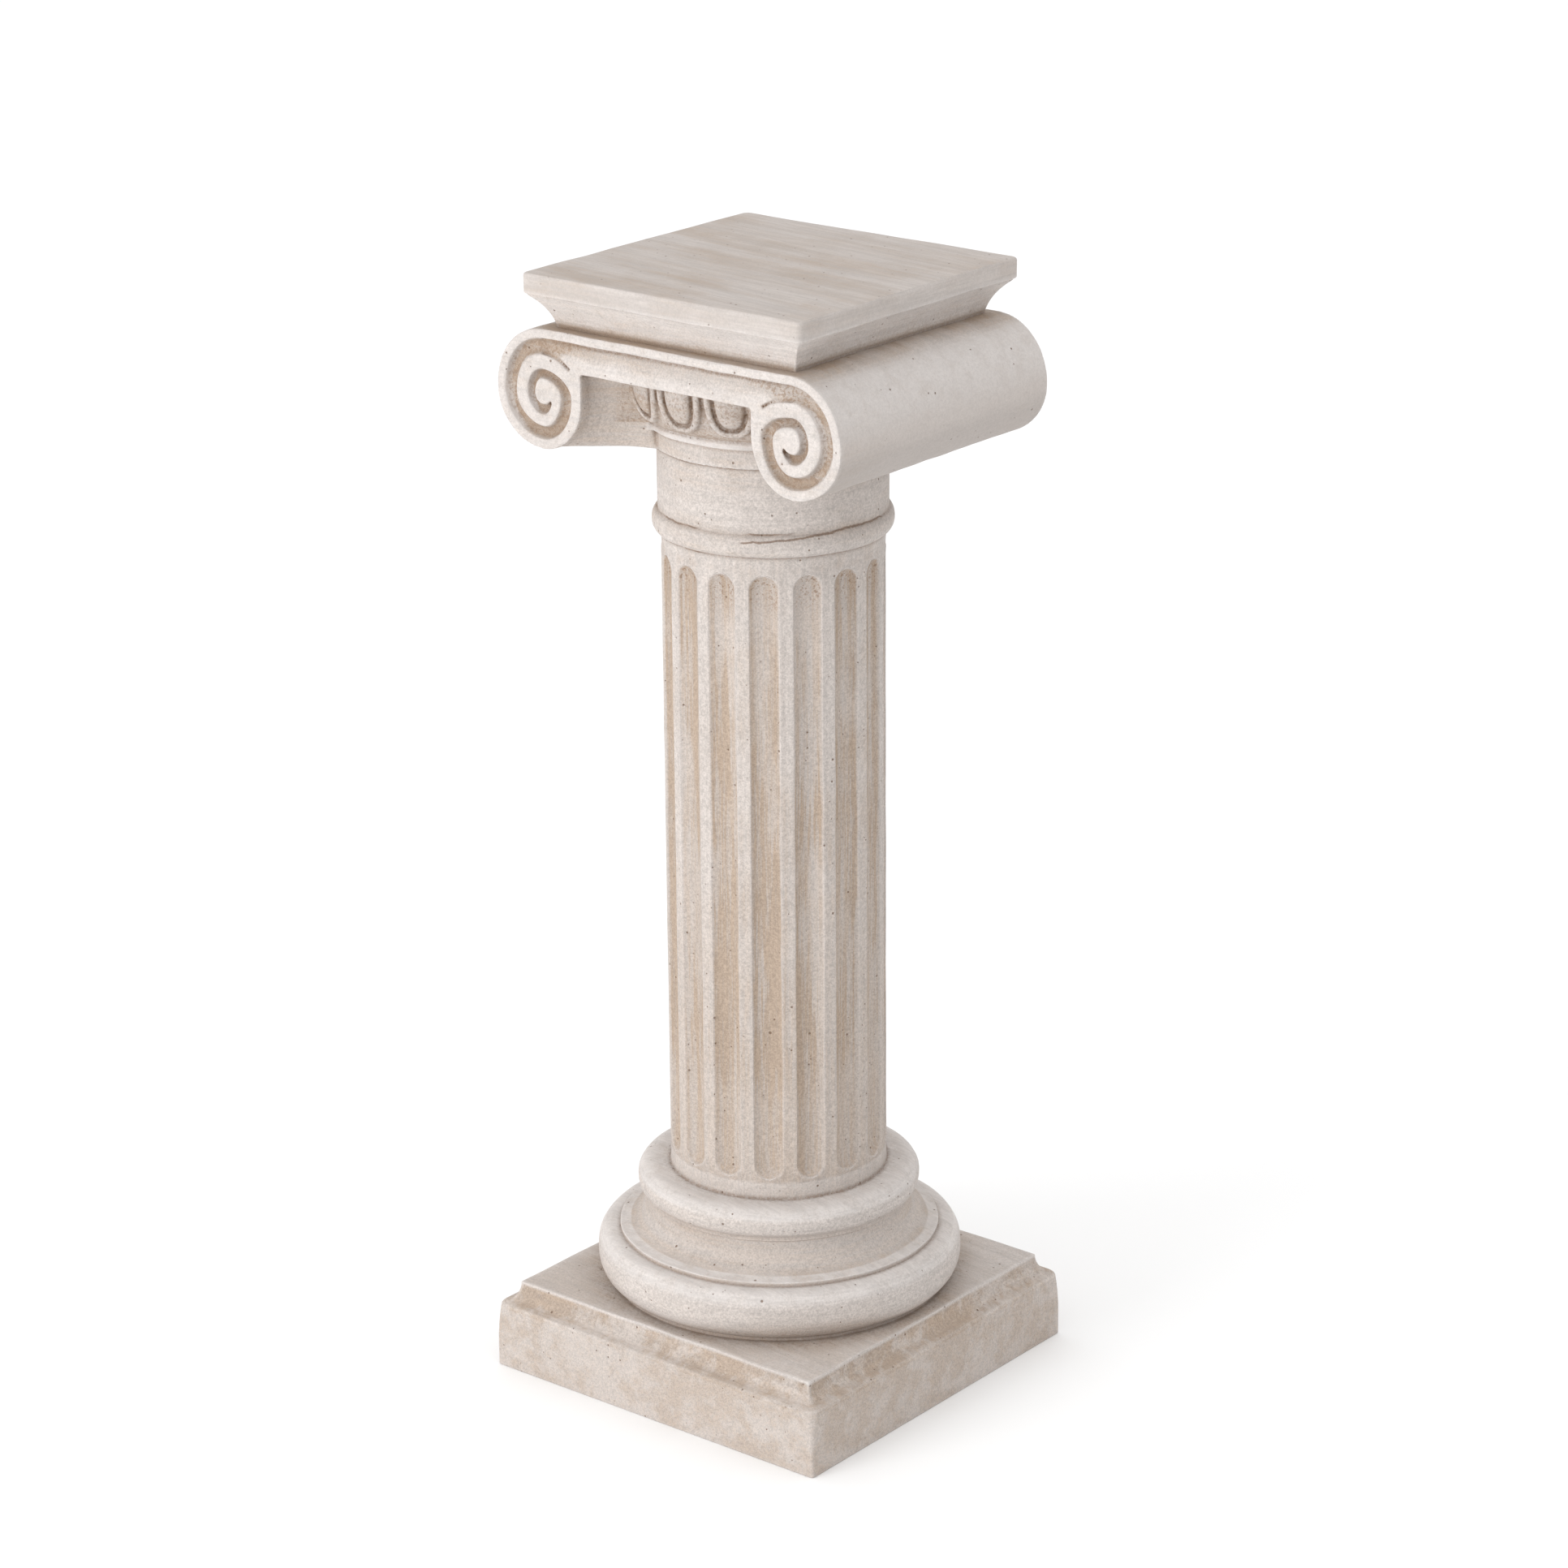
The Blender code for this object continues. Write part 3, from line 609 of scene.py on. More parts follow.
# %% Echinus, band and eggs
ECHINUS_FOOT_RADIUS = LIP_RADIUS - 0.0030
ECHINUS_HEAD_RADIUS = 0.0935
EGG_COUNT = 16
EGG_SHOWN = 3
EGG_HALF = 0.0107
EGG_DROP = 0.0258
EGG_RELIEF = 0.0054
EGG_FULLNESS = 2.8
EGG_HEAD_SHARE = 0.35
SHELL_WIDTH = 0.0070
SHELL_DROP = 0.0050
SHELL_RELIEF = 0.0034
EGG_STEPS = 40
EGG_RINGS = 9
EGG_RIDGE = ((0.04, -0.3), (0.13, -0.3), (0.25, 0.75), (0.36, 1.0),
             (0.58, 1.1), (0.80, 1.05), (0.93, 0.6), (1.0, -0.5))
BAND_BURIED = 0.006
BAND_ARRIS = 0.0006
BAND_LEAN = 0.0012
ECHINUS_STEPS = 192


def echinus_radius(z):
    """Radius of the plain echinus at a height."""
    below = min(1.0, max(0.0, (SLAB_FOOT - z) / (SLAB_FOOT - ECHINUS_FOOT)))
    return ECHINUS_FOOT_RADIUS + (ECHINUS_HEAD_RADIUS - ECHINUS_FOOT_RADIUS) * math.sqrt(1 - below ** 2)


def egg(angle):
    """One egg in its shell, raised on the echinus."""
    rings = []
    for i in range(1, EGG_RINGS + 1):
        share = i / EGG_RINGS
        lift = EGG_RELIEF * math.sqrt(1 - share ** 3) - SLIGHT
        rings.append((EGG_HALF * share, EGG_DROP * share, lift))
    for share, lift in EGG_RIDGE:
        rings.append((EGG_HALF + SHELL_WIDTH * share, EGG_DROP + SHELL_DROP * share, SHELL_RELIEF * lift))
    rings.append((EGG_HALF, EGG_DROP * 0.8, -BURIED * 2))
    drawn = []
    for across, drop, lift in rings:
        ring = []
        for aside, upright in arc((0, 0), (1, 1), 0, 360, EGG_STEPS, EGG_FULLNESS)[:-1]:
            z = SLAB_FOOT + upright * (drop if upright < 0 else drop * EGG_HEAD_SHARE)
            radius = echinus_radius(z) + lift
            around = angle + aside * across / ECHINUS_HEAD_RADIUS
            ring.append((radius * math.sin(around), -radius * math.cos(around), z))
        drawn.append(ring)
    return loft("egg", drawn)


def echinus_profile():
    """The line of the band, the lip and the echinus."""
    band = [(NECK_RADIUS - BAND_BURIED, BAND_FOOT), (BAND_RADIUS, BAND_FOOT + BAND_ARRIS),
            (BAND_RADIUS + BAND_LEAN, LIP_FOOT)]
    half = NECK_LIP_HEIGHT / 2
    lip = arc((LIP_RADIUS - half / 2, LIP_FOOT + half), (half / 2, half), -75, 90, 8)
    swelling = arc((ECHINUS_FOOT_RADIUS, SLAB_FOOT),
                   (ECHINUS_HEAD_RADIUS - ECHINUS_FOOT_RADIUS, SLAB_FOOT - ECHINUS_FOOT), -90, 0, 16)
    head = [(ECHINUS_HEAD_RADIUS, SLAB_FOOT + BURIED)]
    return band + lip + swelling + head


bm = bmesh.new()
line = [bm.verts.new((r, 0.0, z)) for r, z in echinus_profile()]
edges = [bm.edges.new(pair) for pair in zip(line, line[1:])]
bmesh.ops.spin(bm, geom=line + edges, cent=(0, 0, 0), axis=(0, 0, 1), angle=math.tau,
               steps=ECHINUS_STEPS, use_merge=True)
bmesh.ops.remove_doubles(bm, verts=bm.verts, dist=MERGE)
bmesh.ops.holes_fill(bm, edges=bm.edges, sides=0)
echinus = as_object("echinus", bm)
eggs = []
for side in range(2):
    for i in range(EGG_SHOWN):
        eggs.append(egg(math.tau * (i - (EGG_SHOWN - 1) / 2) / EGG_COUNT + math.pi * side))
print("echinus with", len(eggs), "eggs")

# %% [markdown]
# A mould can't hold sharp inside corners, so on the real capital every crease is a little filled and
# every edge a little round. Remeshing the overlapping bodies as one skin of small squares does both at
# once: it melts them together, and a light smoothing rounds what is left. Decimating then spends the
# faces where the surface turns.

# %% Melt the capital into one skin
VOXEL = 0.0009
CAPITAL_TRIANGLES = 110000
WELD = 0.00001
SHARP_ANGLE = math.radians(40)
melted = joined("capital", [capital] + webs + [echinus] + eggs)
remesh = melted.modifiers.new("skin", "REMESH")
remesh.mode = "VOXEL"
remesh.voxel_size = VOXEL
smooth = melted.modifiers.new("soften", "SMOOTH")
smooth.factor = 0.5
smooth.iterations = 1
settle(melted)
print("skin", len(melted.data.polygons), "squares")
sway(melted, *CAPITAL_SWAY)
thin = melted.modifiers.new("thin", "DECIMATE")
thin.ratio = min(1.0, CAPITAL_TRIANGLES / (2 * len(melted.data.polygons)))
settle(melted)
print("capital", len(melted.data.polygons), "faces")

# %% Join all forms into one casting
stand = combine(column, [melted, plinth, top_plate], "UNION")
stand.name = "stand"
stand.data.name = "stand"
bm = bmesh.new()
bm.from_mesh(stand.data)
bmesh.ops.triangulate(bm, faces=bm.faces)
bmesh.ops.remove_doubles(bm, verts=bm.verts, dist=WELD)
open_edges = sum(1 for e in bm.edges if len(e.link_faces) != 2)
bm.to_mesh(stand.data)
bm.free()
stand.data.shade_smooth()
stand.data.set_sharp_from_angle(angle=SHARP_ANGLE)
print("stand", len(stand.data.polygons), "triangles,", open_edges, "open edges")

# %% [markdown]
# ## The finish
# The stone under the paint is a warm beige with a sandy grain. A brown wash was brushed on and wiped, so
# it stayed in the creases, the flutes and the grooves, and white lime was dragged over the high places.
# A painted image would do this too, but it would have to be unwrapped and would blur close up. Nodes
# work it out from the shape: how hidden a point is gives the wash, and how proud it is gives the lime.
# A few places are also painted lighter or darker by the way they face or sit, as painted light and shade.

# %% Small helpers for nodes
def node(tree, kind, **settings):
    """A new node with its settings."""
    made = tree.nodes.new(kind)
    for name, value in settings.items():
        setattr(made, name, value)
    return made


def feed(tree, socket, value):
    """Links a socket to another node's output, or sets it to a plain value."""
    if isinstance(value, bpy.types.NodeSocket):
        tree.links.new(value, socket)
    else:
        socket.default_value = value


def calc(tree, operation, *values, clamp=False):
    """A Math node."""
    made = node(tree, "ShaderNodeMath", operation=operation, use_clamp=clamp)
    for socket, value in zip(made.inputs, values):
        feed(tree, socket, value)
    return made.outputs[0]


def between(tree, value, low, high, to_low=0.0, to_high=1.0):
    """A value eased from one range to another, and held at its ends."""
    made = node(tree, "ShaderNodeMapRange", interpolation_type="SMOOTHSTEP")
    for name, number in (("From Min", low), ("From Max", high), ("To Min", to_low), ("To Max", to_high)):
        made.inputs[name].default_value = number
    feed(tree, made.inputs["Value"], value)
    return made.outputs[0]


def blend(tree, amount, under, over):
    """One colour laid over another by an amount."""
    made = node(tree, "ShaderNodeMix", data_type="RGBA")
    feed(tree, made.inputs[0], amount)
    feed(tree, made.inputs[6], under)
    feed(tree, made.inputs[7], over)
    return made.outputs[2]


def grain(tree, place, scale, detail=3.0, roughness=0.6, distortion=0.0):
    """Noise at so many waves a metre."""
    made = node(tree, "ShaderNodeTexNoise")
    feed(tree, made.inputs["Vector"], place)
    made.inputs["Scale"].default_value = scale
    made.inputs["Detail"].default_value = detail
    made.inputs["Roughness"].default_value = roughness
    made.inputs["Distortion"].default_value = distortion
    return made.outputs["Fac"]


def stretched(tree, place, scale, turn=0.0):
    """Coordinates stretched along the axes, after a turn about the upright one."""
    made = node(tree, "ShaderNodeMapping", vector_type="TEXTURE")
    feed(tree, made.inputs["Vector"], place)
    made.inputs["Rotation"].default_value = (0.0, 0.0, turn)
    made.inputs["Scale"].default_value = [1.0 / share for share in scale]
    return made.outputs["Vector"]


# %% [markdown]
# A brush leaves long fine lines along its way: down the flutes, round the mouldings and across the top.
# Noise that is squeezed across the stroke and drawn out along it gives such lines, and the same small
# group does for every direction.

# %% Brush strokes as a node group
strokes = bpy.data.node_groups.new("brush_strokes", "ShaderNodeTree")
strokes.interface.new_socket("Place", in_out="INPUT", socket_type="NodeSocketVector")
strokes.interface.new_socket("Strokes", in_out="OUTPUT", socket_type="NodeSocketFloat")
strokes.interface.new_socket("Patches", in_out="OUTPUT", socket_type="NodeSocketFloat")
entry = node(strokes, "NodeGroupInput")
leave = node(strokes, "NodeGroupOutput")
hair = grain(strokes, entry.outputs["Place"], 900.0, 2.0, 0.5)
band = grain(strokes, entry.outputs["Place"], 230.0, 3.0, 0.6)
both = calc(strokes, "ADD", calc(strokes, "MULTIPLY", hair, 0.45), calc(strokes, "MULTIPLY", band, 0.55))
feed(strokes, leave.inputs["Strokes"], both)
feed(strokes, leave.inputs["Patches"], grain(strokes, entry.outputs["Place"], 60.0, 4.0, 0.65))
print("brush strokes", len(strokes.nodes), "nodes")

# %% [markdown]
# Pinholes are left by air in the mix. Each cell of a Voronoi texture holds one point, and the cell's
# random colour decides how wide its hole is, so that most cells have none.

# %% Pinholes as a node group
pinholes = bpy.data.node_groups.new("pinholes", "ShaderNodeTree")
pinholes.interface.new_socket("Place", in_out="INPUT", socket_type="NodeSocketVector")
pinholes.interface.new_socket("Cells", in_out="INPUT", socket_type="NodeSocketFloat")
pinholes.interface.new_socket("Widest", in_out="INPUT", socket_type="NodeSocketFloat")
pinholes.interface.new_socket("Holes", in_out="OUTPUT", socket_type="NodeSocketFloat")
entry = node(pinholes, "NodeGroupInput")
leave = node(pinholes, "NodeGroupOutput")
cells = node(pinholes, "ShaderNodeTexVoronoi")
feed(pinholes, cells.inputs["Vector"], entry.outputs["Place"])
feed(pinholes, cells.inputs["Scale"], entry.outputs["Cells"])
chance = node(pinholes, "ShaderNodeSeparateColor")
feed(pinholes, chance.inputs[0], cells.outputs["Color"])
width = calc(pinholes, "MULTIPLY", calc(pinholes, "POWER", chance.outputs[0], 2.5), entry.outputs["Widest"])
near = calc(pinholes, "SUBTRACT", width, cells.outputs["Distance"])
steepness = calc(pinholes, "DIVIDE", 2.5, entry.outputs["Widest"])
feed(pinholes, leave.inputs["Holes"], calc(pinholes, "MULTIPLY", near, steepness, clamp=True))
print("pinholes", len(pinholes.nodes), "nodes")

# %% [markdown]
# The material starts with what it needs to know of each point: its place, its height, its distance from
# the stand's axis and which way it faces. Object coordinates are in metres from the stand's own origin,
# so the pattern stays put on the stone, whatever is done with the object.

# %% Start the stone material
stone = bpy.data.materials.new("limewashed_cast_stone")
stone.use_nodes = True
tree = stone.node_tree
shader = tree.nodes["Principled BSDF"]
shader.inputs["Roughness"].default_value = 0.85
shader.inputs["Specular IOR Level"].default_value = 0.3
place = node(tree, "ShaderNodeTexCoord").outputs["Object"]
split = node(tree, "ShaderNodeSeparateXYZ")
feed(tree, split.inputs[0], place)
height = split.outputs["Z"]
facing = node(tree, "ShaderNodeSeparateXYZ")
feed(tree, facing.inputs[0], node(tree, "ShaderNodeNewGeometry").outputs["Normal"])
radius = calc(tree, "SQRT", calc(tree, "ADD", calc(tree, "MULTIPLY", split.outputs["X"], split.outputs["X"]),
                                 calc(tree, "MULTIPLY", split.outputs["Y"], split.outputs["Y"])))
on_top = between(tree, facing.outputs["Z"], 0.75, 0.95)
above_shaft = between(tree, height, SHAFT_HEAD - 0.004, SHAFT_HEAD + 0.002)
below_shaft = between(tree, height, SHAFT_FOOT + 0.004, SHAFT_FOOT - 0.002)
on_shaft = calc(tree, "SUBTRACT", calc(tree, "SUBTRACT", 1.0, above_shaft), below_shaft, clamp=True)
in_flute = calc(tree, "MULTIPLY", on_shaft, between(tree, radius, SHAFT_RADIUS, SHAFT_RADIUS - 0.0016))


def brushed(scale, turn=0.0):
    """Strokes and patches drawn out along one direction."""
    group = node(tree, "ShaderNodeGroup", node_tree=strokes)
    feed(tree, group.inputs["Place"], stretched(tree, place, scale, turn))
    return group.outputs["Strokes"], group.outputs["Patches"]


def choose(amount, under, over):
    """One value under another, by an amount."""
    made = node(tree, "ShaderNodeMix")
    feed(tree, made.inputs[0], amount)
    feed(tree, made.inputs[2], under)
    feed(tree, made.inputs[3], over)
    return made.outputs[0]


down, down_patches = brushed((1.0, 1.0, 0.035))
round_about, round_patches = brushed((0.05, 0.05, 1.0))
across_top, top_patches = brushed((0.05, 0.7, 0.7), math.radians(-6))
stroke = choose(on_top, choose(on_shaft, round_about, down), across_top)
patch = choose(on_top, choose(on_shaft, round_patches, down_patches), top_patches)
print("strokes placed in three directions")

# %% [markdown]
# Ambient Occlusion measures how much of the sky a point sees. With a short reach it finds the creases,
# with a long one the broad hollows, and turned inside it finds the edges that stand proud.

# %% Hollows and edges
def hidden(distance, inside=False):
    """How closed in a point is within a distance, from 0 in the open."""
    made = node(tree, "ShaderNodeAmbientOcclusion", samples=6, only_local=True, inside=inside)
    made.inputs["Distance"].default_value = distance
    return calc(tree, "SUBTRACT", 1.0, made.outputs["AO"])


crease = between(tree, hidden(0.0035), 0.05, 0.30)
hollow = between(tree, hidden(0.028), 0.10, 0.55)
edge = between(tree, hidden(0.004, inside=True), 0.12, 0.40)
cloud = grain(tree, place, 14.0, 4.0, 0.6)
mottle = grain(tree, place, 90.0, 4.0, 0.65, 0.4)
sand = grain(tree, place, 900.0, 2.0, 0.7)
coarse_sand = grain(tree, place, 430.0, 3.0, 0.7)
print("masks for creases, hollows and edges")

# %% Sums, products and fades of masks
def total(*terms):
    """A sum of values, each times its share."""
    value = 0.0
    for term, share in terms:
        value = calc(tree, "MULTIPLY_ADD", term, share, value)
    return value


def times(*values):
    """A product of values, held between 0 and 1."""
    value = values[0]
    for other in values[1:]:
        value = calc(tree, "MULTIPLY", value, other, clamp=True)
    return value


def most(*values):
    """The greatest of several values."""
    value = values[0]
    for other in values[1:]:
        value = calc(tree, "MAXIMUM", value, other)
    return value


def fade(mask, share):
    """1 outside a mask, easing to a share inside it."""
    return between(tree, mask, 0.0, 1.0, 1.0, share)


def within(value, low, high, soft):
    """1 inside a range of heights or distances, easing to 0 outside it."""
    return times(between(tree, value, low - soft, low), between(tree, value, high + soft, high))


stroke_line = between(tree, stroke, 0.40, 0.60)
patchy = between(tree, patch, 0.36, 0.62)
cloudy = between(tree, total((cloud, 0.6), (patch, 0.4)), 0.44, 0.62)
dabbed = between(tree, total((cloud, 0.5), (mottle, 0.5)), 0.42, 0.58)
grains = between(tree, coarse_sand, 0.47, 0.60)
drift = grain(tree, stretched(tree, place, (1.0, 1.0, 0.2)), 34.0, 3.0, 0.6)
across_x = calc(tree, "ABSOLUTE", split.outputs["X"])
across_y = calc(tree, "ABSOLUTE", split.outputs["Y"])
turned_x = calc(tree, "ABSOLUTE", facing.outputs["X"])
turned_y = calc(tree, "ABSOLUTE", facing.outputs["Y"])
turned_up = facing.outputs["Z"]
print("masks can be added, multiplied and faded")

# %% [markdown]
# The brush treated each part in its own way: the carving kept the wash, the rolls' plain sides were wiped
# nearly clean, and the top was stroked with a wide brush. So each part gets a zone, a range of heights,
# of distances from the middle and of directions. A zone's soft edge is the last number, in metres.

# %% Zones of the capital and the top plate
in_capital = within(height, BAND_FOOT + 0.001, SCROLL_TOP + 0.001, 0.001)
scroll_face = times(in_capital, between(tree, turned_y, 0.35, 0.75))
carved = times(scroll_face, within(across_y, FACE_Y - 0.0052, FACE_Y - 0.0024, 0.0014))
by_scroll = between(tree, across_x, EYE_X - 0.046, EYE_X - 0.018, 0.30, 1.0)
ribbon = times(scroll_face, between(tree, across_y, FACE_Y - 0.0014, FACE_Y - 0.0005))
roll_side = times(in_capital, between(tree, turned_x, 0.30, 0.60), between(tree, across_x, 0.090, 0.100))
# Painted highlight: the upper half of each roll's side is whitened where it faces up, as if lit from above.
roll_upper_painted_highlight = times(roll_side, between(tree, turned_up, -0.1, 0.5))
# Painted shade: the lower half of each roll's side is darkened where it faces down.
roll_underside_painted_shade = times(roll_side, between(tree, turned_up, 0.1, -0.5))
roll_top = times(between(tree, turned_up, 0.55, 0.85),
                 within(height, SCROLL_TOP - 0.004, SCROLL_TOP + 0.0014, 0.001))
round_echinus = times(within(height, ECHINUS_FOOT + 0.001, SLAB_FOOT, 0.002),
                      between(tree, radius, 0.108, 0.098))
neck_lip = times(within(height, LIP_FOOT + 0.0006, ECHINUS_FOOT - 0.0002, 0.0006),
                 between(tree, radius, 0.086, 0.084))
cove_foot = within(height, SCROLL_TOP + 0.0006, SCROLL_TOP + 0.0046, 0.0012)
# The cove under the top plate: besides holding back the wash, this zone is lightened with lime and tone as
# painted light.
in_cove = within(height, SCROLL_TOP + 0.005, FASCIA_FOOT, 0.004)
on_fascia = within(height, FASCIA_FOOT + 0.001, TOTAL_HEIGHT, 0.001)
top_deck = times(on_top, between(tree, height, TOTAL_HEIGHT - 0.010, TOTAL_HEIGHT - 0.006))
print("zones of the capital and the top plate")

# %% Zones of the shaft, base and plinth
flute_head = times(in_flute, between(tree, height, FLUTE_HIGH - 0.030, FLUTE_HIGH + 0.006))
lower_half = between(tree, height, SHAFT_FOOT + 0.260, SHAFT_FOOT + 0.120)
near_foot = between(tree, height, SHAFT_FOOT + 0.130, SHAFT_FOOT + 0.050)
shaft_foot = within(height, SHAFT_FOOT, SHAFT_FOOT + 0.010, 0.004)
in_base = between(tree, height, SHAFT_FOOT + 0.004, SHAFT_FOOT - 0.004)
in_scotia = within(height, FILLET_TOP, UPPER_TORUS_BOTTOM, 0.003)
scotia_lip = within(height, FILLET_TOP - 0.0004, FILLET_TOP + 0.0010, 0.0006)
on_torus = most(within(height, PLINTH_TOP + 0.006, FILLET_BOTTOM, 0.001),
                within(height, UPPER_TORUS_BOTTOM, SHAFT_FOOT, 0.002))
torus_crown = times(between(tree, turned_up, 0.10, 0.50), on_torus)
on_plinth = between(tree, height, PLINTH_TOP + 0.0006, PLINTH_TOP)
plinth_cove = within(height, PLINTH_SIDE + 0.001, PLINTH_TOP - 0.003, 0.003)
plinth_side = between(tree, height, PLINTH_SIDE + 0.001, PLINTH_SIDE - 0.001)
print("zones of the shaft, the base and the plinth")

# %% Where the wash stayed
flute_wash = times(in_flute, total((stroke_line, 0.55), (patchy, 0.45), (1.0, 0.08)),
                   between(tree, drift, 0.38, 0.56, 0.45, 1.15), fade(near_foot, 0.38))
fillet_wash = times(on_shaft, total((lower_half, 0.14), (times(lower_half, stroke_line), 0.22),
                                    (near_foot, 0.08), (1.0, 0.02)))
hollow_wash = times(hollow, total((patchy, 0.50), (mottle, 0.40), (1.0, 0.15)),
                    between(tree, in_cove, 0.0, 1.0, 0.55, 0.08))
stain = times(cloudy, total((stroke_line, 0.50), (1.0, 0.18)), 0.7,
              fade(plinth_side, 0.15), fade(near_foot, 0.3))
carved_wash = times(carved, total((patchy, 0.45), (grains, 0.35), (1.0, 0.26)), by_scroll)
echinus_wash = times(round_echinus, total((patchy, 0.30), (1.0, 0.08)))
side_wash = total((dabbed, 0.20), (mottle, 0.12), (grains, 0.14), (1.0, 0.06))
base_wash = total((times(in_scotia, total((stroke_line, 0.25), (patchy, 0.30))), 1.0),
                  (times(plinth_cove, total((dabbed, 0.40), (1.0, 0.20))), 1.0),
                  (times(plinth_side, side_wash), 1.0),
                  (times(on_plinth, dabbed), 0.20))
plate_wash = total((times(top_deck, total((patchy, 0.24), (dabbed, 0.10))), 1.0),
                   (times(cove_foot, total((patchy, 0.30), (1.0, 0.30))), 1.0))
wash = total((flute_wash, 1.0), (fillet_wash, 1.0), (hollow_wash, 1.0), (stain, 1.0), (carved_wash, 1.0),
             (echinus_wash, 1.0), (base_wash, 1.0), (plate_wash, 1.0))
wash = times(wash, fade(roll_side, 0.40), fade(shaft_foot, 0.5))
print("wash placed")

# %% Where the lime stayed, and the painted highlight and painted light
# Lime on proud edges, ribbons, lips and crowns. The rolls' upper sides get a painted highlight, and the cove
# under the top plate gets painted light.
lime_and_painted_highlight = most(times(edge, fade(on_fascia, 0.6)), times(torus_crown, 0.85),
             total((ribbon, 0.60), (roll_upper_painted_highlight, 0.85), (shaft_foot, 0.25), (neck_lip, 0.8), (in_cove, 0.55),
                   (on_fascia, 0.12), (scotia_lip, 0.9)))
lime_and_painted_highlight = times(lime_and_painted_highlight, between(tree, mottle, 0.30, 0.60, 0.45, 1.0), fade(plinth_side, 0.5))
print("lime placed")

# %% [markdown]
# The wash is darkest as grit: in the creases, in the carved grooves and under the flutes' heads. It also
# ran into hairlines where one moulding meets the next, and into one long crack that slants over the
# astragal on the front right. Each line is a distance in height from a curve, blurred by noise.

# %% Grit, hairlines and the crack
CRACK_DROP = 0.0042
CRACK_WIDTH = 0.0009
HAIRLINE_WIDTH = 0.0010
WOBBLE = 0.0030
loose_sand = between(tree, coarse_sand, 0.40, 0.60)
crease_grit = times(crease, total((loose_sand, 0.65), (mottle, 0.6), (1.0, 0.20)),
                    fade(roll_top, 0.15), fade(in_base, 0.5), fade(cove_foot, 0.5))
hollow_grit = times(most(times(hollow, 0.75), times(carved, by_scroll), round_echinus),
                    grains, 0.48, fade(roll_top, 0.1))
head_grit = times(flute_head, between(tree, coarse_sand, 0.50, 0.66), 0.8)
wobble = calc(tree, "MULTIPLY", calc(tree, "SUBTRACT", mottle, 0.5), WOBBLE)
turn_about = calc(tree, "ARCTAN2", split.outputs["X"], calc(tree, "MULTIPLY", split.outputs["Y"], -1.0))


def hairline(level, width, shares):
    """A thin line round the stand at a height, broken where its shares are low."""
    away = calc(tree, "ABSOLUTE", calc(tree, "SUBTRACT", calc(tree, "ADD", height, wobble), level))
    return times(between(tree, away, width, width * 0.3), shares)


crack_drop = between(tree, turn_about, math.radians(80), math.radians(24), 0.0, CRACK_DROP)
crack_level = calc(tree, "SUBTRACT", NECK_FOOT - 0.0002, crack_drop)
crack = hairline(crack_level, CRACK_WIDTH, within(turn_about, math.radians(25), math.radians(104), 0.05))
broken = between(tree, grain(tree, place, 26.0, 2.0, 0.5), 0.46, 0.56)
hairlines = [hairline(level, HAIRLINE_WIDTH, broken) for level in (NECK_FOOT, SHAFT_HEAD, BAND_FOOT)]
on_column = between(tree, radius, LIP_RADIUS + 0.016, LIP_RADIUS + 0.014)
lines = times(most(crack, *hairlines), on_column, 0.75)
dark = most(times(crease_grit, 0.95), hollow_grit, head_grit, lines)
print("grit and hairlines drawn")

# %% Colours of wash, lime and grit
LIME = (0.515, 0.468, 0.438, 1.0)
BEIGE = (0.385, 0.303, 0.238, 1.0)
BROWN = (0.165, 0.100, 0.060, 1.0)
LIME_AND_HIGHLIGHT_WHITE = (0.600, 0.562, 0.540, 1.0)
colour = blend(tree, wash, LIME, BEIGE)
colour = blend(tree, lime_and_painted_highlight, colour, LIME_AND_HIGHLIGHT_WHITE)
colour = blend(tree, dark, colour, BROWN)
print("colours laid")

# %% Sandy speckle, brush lines, and painted shade and light
SPECKLE = 0.17
sandy = between(tree, total((sand, 0.5), (coarse_sand, 0.5)), 0.36, 0.64, -SPECKLE, SPECKLE)
smoothed = times(fade(most(lime_and_painted_highlight, roll_side, on_fascia), 0.35), fade(on_top, 0.6))
speckle = calc(tree, "MULTIPLY_ADD", sandy, smoothed, 1.0)
brush_lines = between(tree, stroke, 0.38, 0.62, -0.07, 0.05)
tone = calc(tree, "MULTIPLY_ADD", brush_lines, fade(most(roll_side, plinth_side), 0.15), 1.0)
# Besides speckle, the tone paints light and shade: the cove under the top plate is lightened as painted
# light, and the rolls' undersides are darkened as painted shade.
for share in (speckle, fade(on_fascia, 0.95), fade(in_cove, 1.07), fade(roll_underside_painted_shade, 0.88)):
    tone = calc(tree, "MULTIPLY", tone, share)
shade = node(tree, "ShaderNodeMix", data_type="RGBA", blend_type="MULTIPLY")
shade.inputs[0].default_value = 1.0
feed(tree, shade.inputs[6], colour)
feed(tree, shade.inputs[7], tone)
colour = shade.outputs[2]
print("speckle and brush lines added")

# %% Pinholes
FINE_HOLES = (190.0, 0.17)
WIDE_HOLES = (75.0, 0.085)


def holes_of(cells_per_metre, widest):
    """Pinholes of one size."""
    group = node(tree, "ShaderNodeGroup", node_tree=pinholes)
    feed(tree, group.inputs["Place"], place)
    group.inputs["Cells"].default_value = cells_per_metre
    group.inputs["Widest"].default_value = widest
    return group.outputs["Holes"]


holes = most(holes_of(*FINE_HOLES), holes_of(*WIDE_HOLES))
colour = blend(tree, calc(tree, "MULTIPLY", holes, 0.8), colour, BROWN)
feed(tree, shader.inputs["Base Color"], colour)
feed(tree, shader.inputs["Roughness"], between(tree, wash, 0.0, 1.0, 0.78, 0.92))
print("pinholes added")

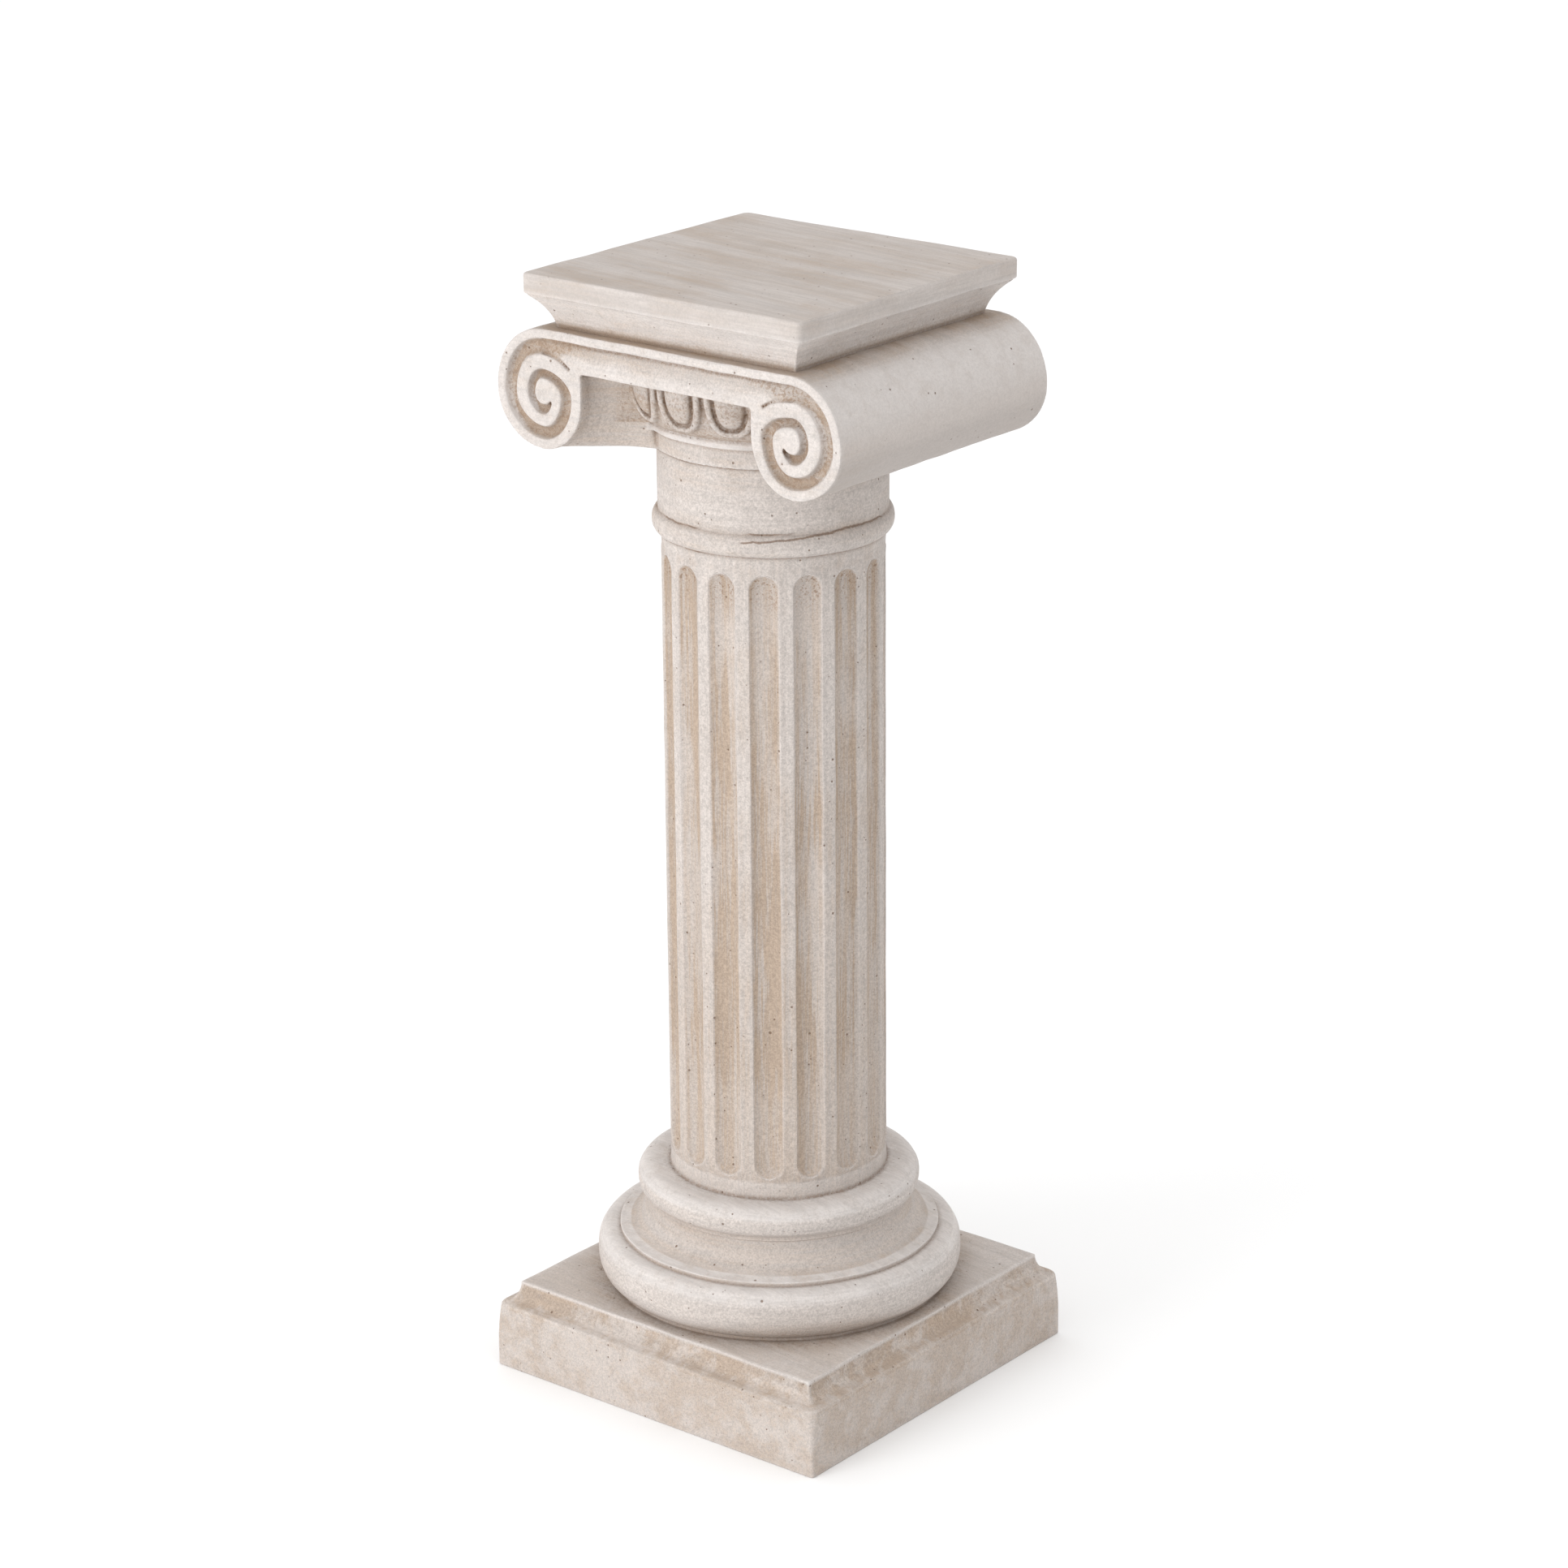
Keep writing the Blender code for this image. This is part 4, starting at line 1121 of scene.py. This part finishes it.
# %% [markdown]
# Sand, brush marks and pinholes are far too fine to model, but they catch the light. A Bump node tilts
# the surface as a height of at most a millimetre would, without moving it.

# %% Relief
relief = total((sand, 0.10), (coarse_sand, 0.16), (times(stroke, wash), 0.20), (mottle, 0.30), (holes, -0.45))
bump = node(tree, "ShaderNodeBump")
bump.inputs["Strength"].default_value = 1.0
bump.inputs["Distance"].default_value = 0.001
feed(tree, bump.inputs["Height"], relief)
feed(tree, shader.inputs["Normal"], bump.outputs["Normal"])
stand.data.materials.clear()
stand.data.materials.append(stone)
print("stone", len(tree.nodes), "nodes")

# %% Say what the piece stands for
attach(stand, "root")
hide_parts("column_plant_stand")
print("stand rides on the root and replaces the packed solid")

# %% [markdown]
# ## Floor, light and camera
# The stand is shown on a plain white floor in soft light, seen from a little above and to the right of
# the scrolled face, with the long lens that the small convergence of its uprights asks for.

# %% Floor
bm = bmesh.new()
bmesh.ops.create_grid(bm, x_segments=2, y_segments=2, size=6.0)
floor = as_object("floor", bm)
paint = bpy.data.materials.new("white_floor")
paint.use_nodes = True
plain = paint.node_tree.nodes["Principled BSDF"]
plain.inputs["Base Color"].default_value = (0.92, 0.92, 0.92, 1.0)
plain.inputs["Roughness"].default_value = 0.9
floor.data.materials.append(paint)
print("floor", round(floor.dimensions.x, 2), "m wide")

# %% Light
SKY_LEVEL = 0.78
SKY_ABOVE = 1.26
world = bpy.data.worlds.new("studio")
world.use_nodes = True
sky = world.node_tree
sky.nodes["Background"].inputs["Color"].default_value = (1.0, 1.0, 1.0, 1.0)
direction = node(sky, "ShaderNodeSeparateXYZ")
feed(sky, direction.inputs[0], node(sky, "ShaderNodeTexCoord").outputs["Generated"])
strength = between(sky, direction.outputs["Z"], 0.0, 1.0, SKY_LEVEL, SKY_ABOVE)
feed(sky, sky.nodes["Background"].inputs["Strength"], strength)
bpy.context.scene.world = world
bpy.context.scene.view_settings.view_transform = "Standard"


def softbox(name, place, target, size, power):
    """A square area light at a place, aimed at a target."""
    light = bpy.data.lights.new(name, "AREA")
    light.shape = "SQUARE"
    light.size = size
    light.energy = power
    obj = bpy.data.objects.new(name, light)
    aim = Vector(target) - Vector(place)
    obj.matrix_world = Matrix.Translation(place) @ aim.to_track_quat("-Z", "Y").to_matrix().to_4x4()
    bpy.context.scene.collection.objects.link(obj)
    return obj


key = softbox("key", (-0.9, -3.4, 0.95), (0, 0, 0.40), 1.6, 62.0)
print("key light", key.data.energy, "W")

# %% Camera
CAMERA_AZIMUTH = math.radians(38.92)
CAMERA_ELEVATION = math.radians(19.16)
CAMERA_ROLL = math.radians(-0.45)
CAMERA_PLACE = Vector((1.836, -2.265, 1.4253))

back = Vector((math.sin(CAMERA_AZIMUTH) * math.cos(CAMERA_ELEVATION),
               -math.cos(CAMERA_AZIMUTH) * math.cos(CAMERA_ELEVATION), math.sin(CAMERA_ELEVATION)))
level = Vector((0, 0, 1)).cross(back).normalized()
upward = back.cross(level)
side = level * math.cos(CAMERA_ROLL) + upward * math.sin(CAMERA_ROLL)
upward = upward * math.cos(CAMERA_ROLL) - level * math.sin(CAMERA_ROLL)
lens = bpy.data.cameras.new("camera")
lens.lens = 107.1
lens.sensor_width = 36.0
camera = bpy.data.objects.new("camera", lens)
camera.matrix_world = Matrix.Translation(CAMERA_PLACE) @ Matrix((side, upward, back)).transposed().to_4x4()
bpy.context.scene.collection.objects.link(camera)
bpy.context.scene.camera = camera
print("camera", round(CAMERA_PLACE.length, 2), "m from the foot of the stand")
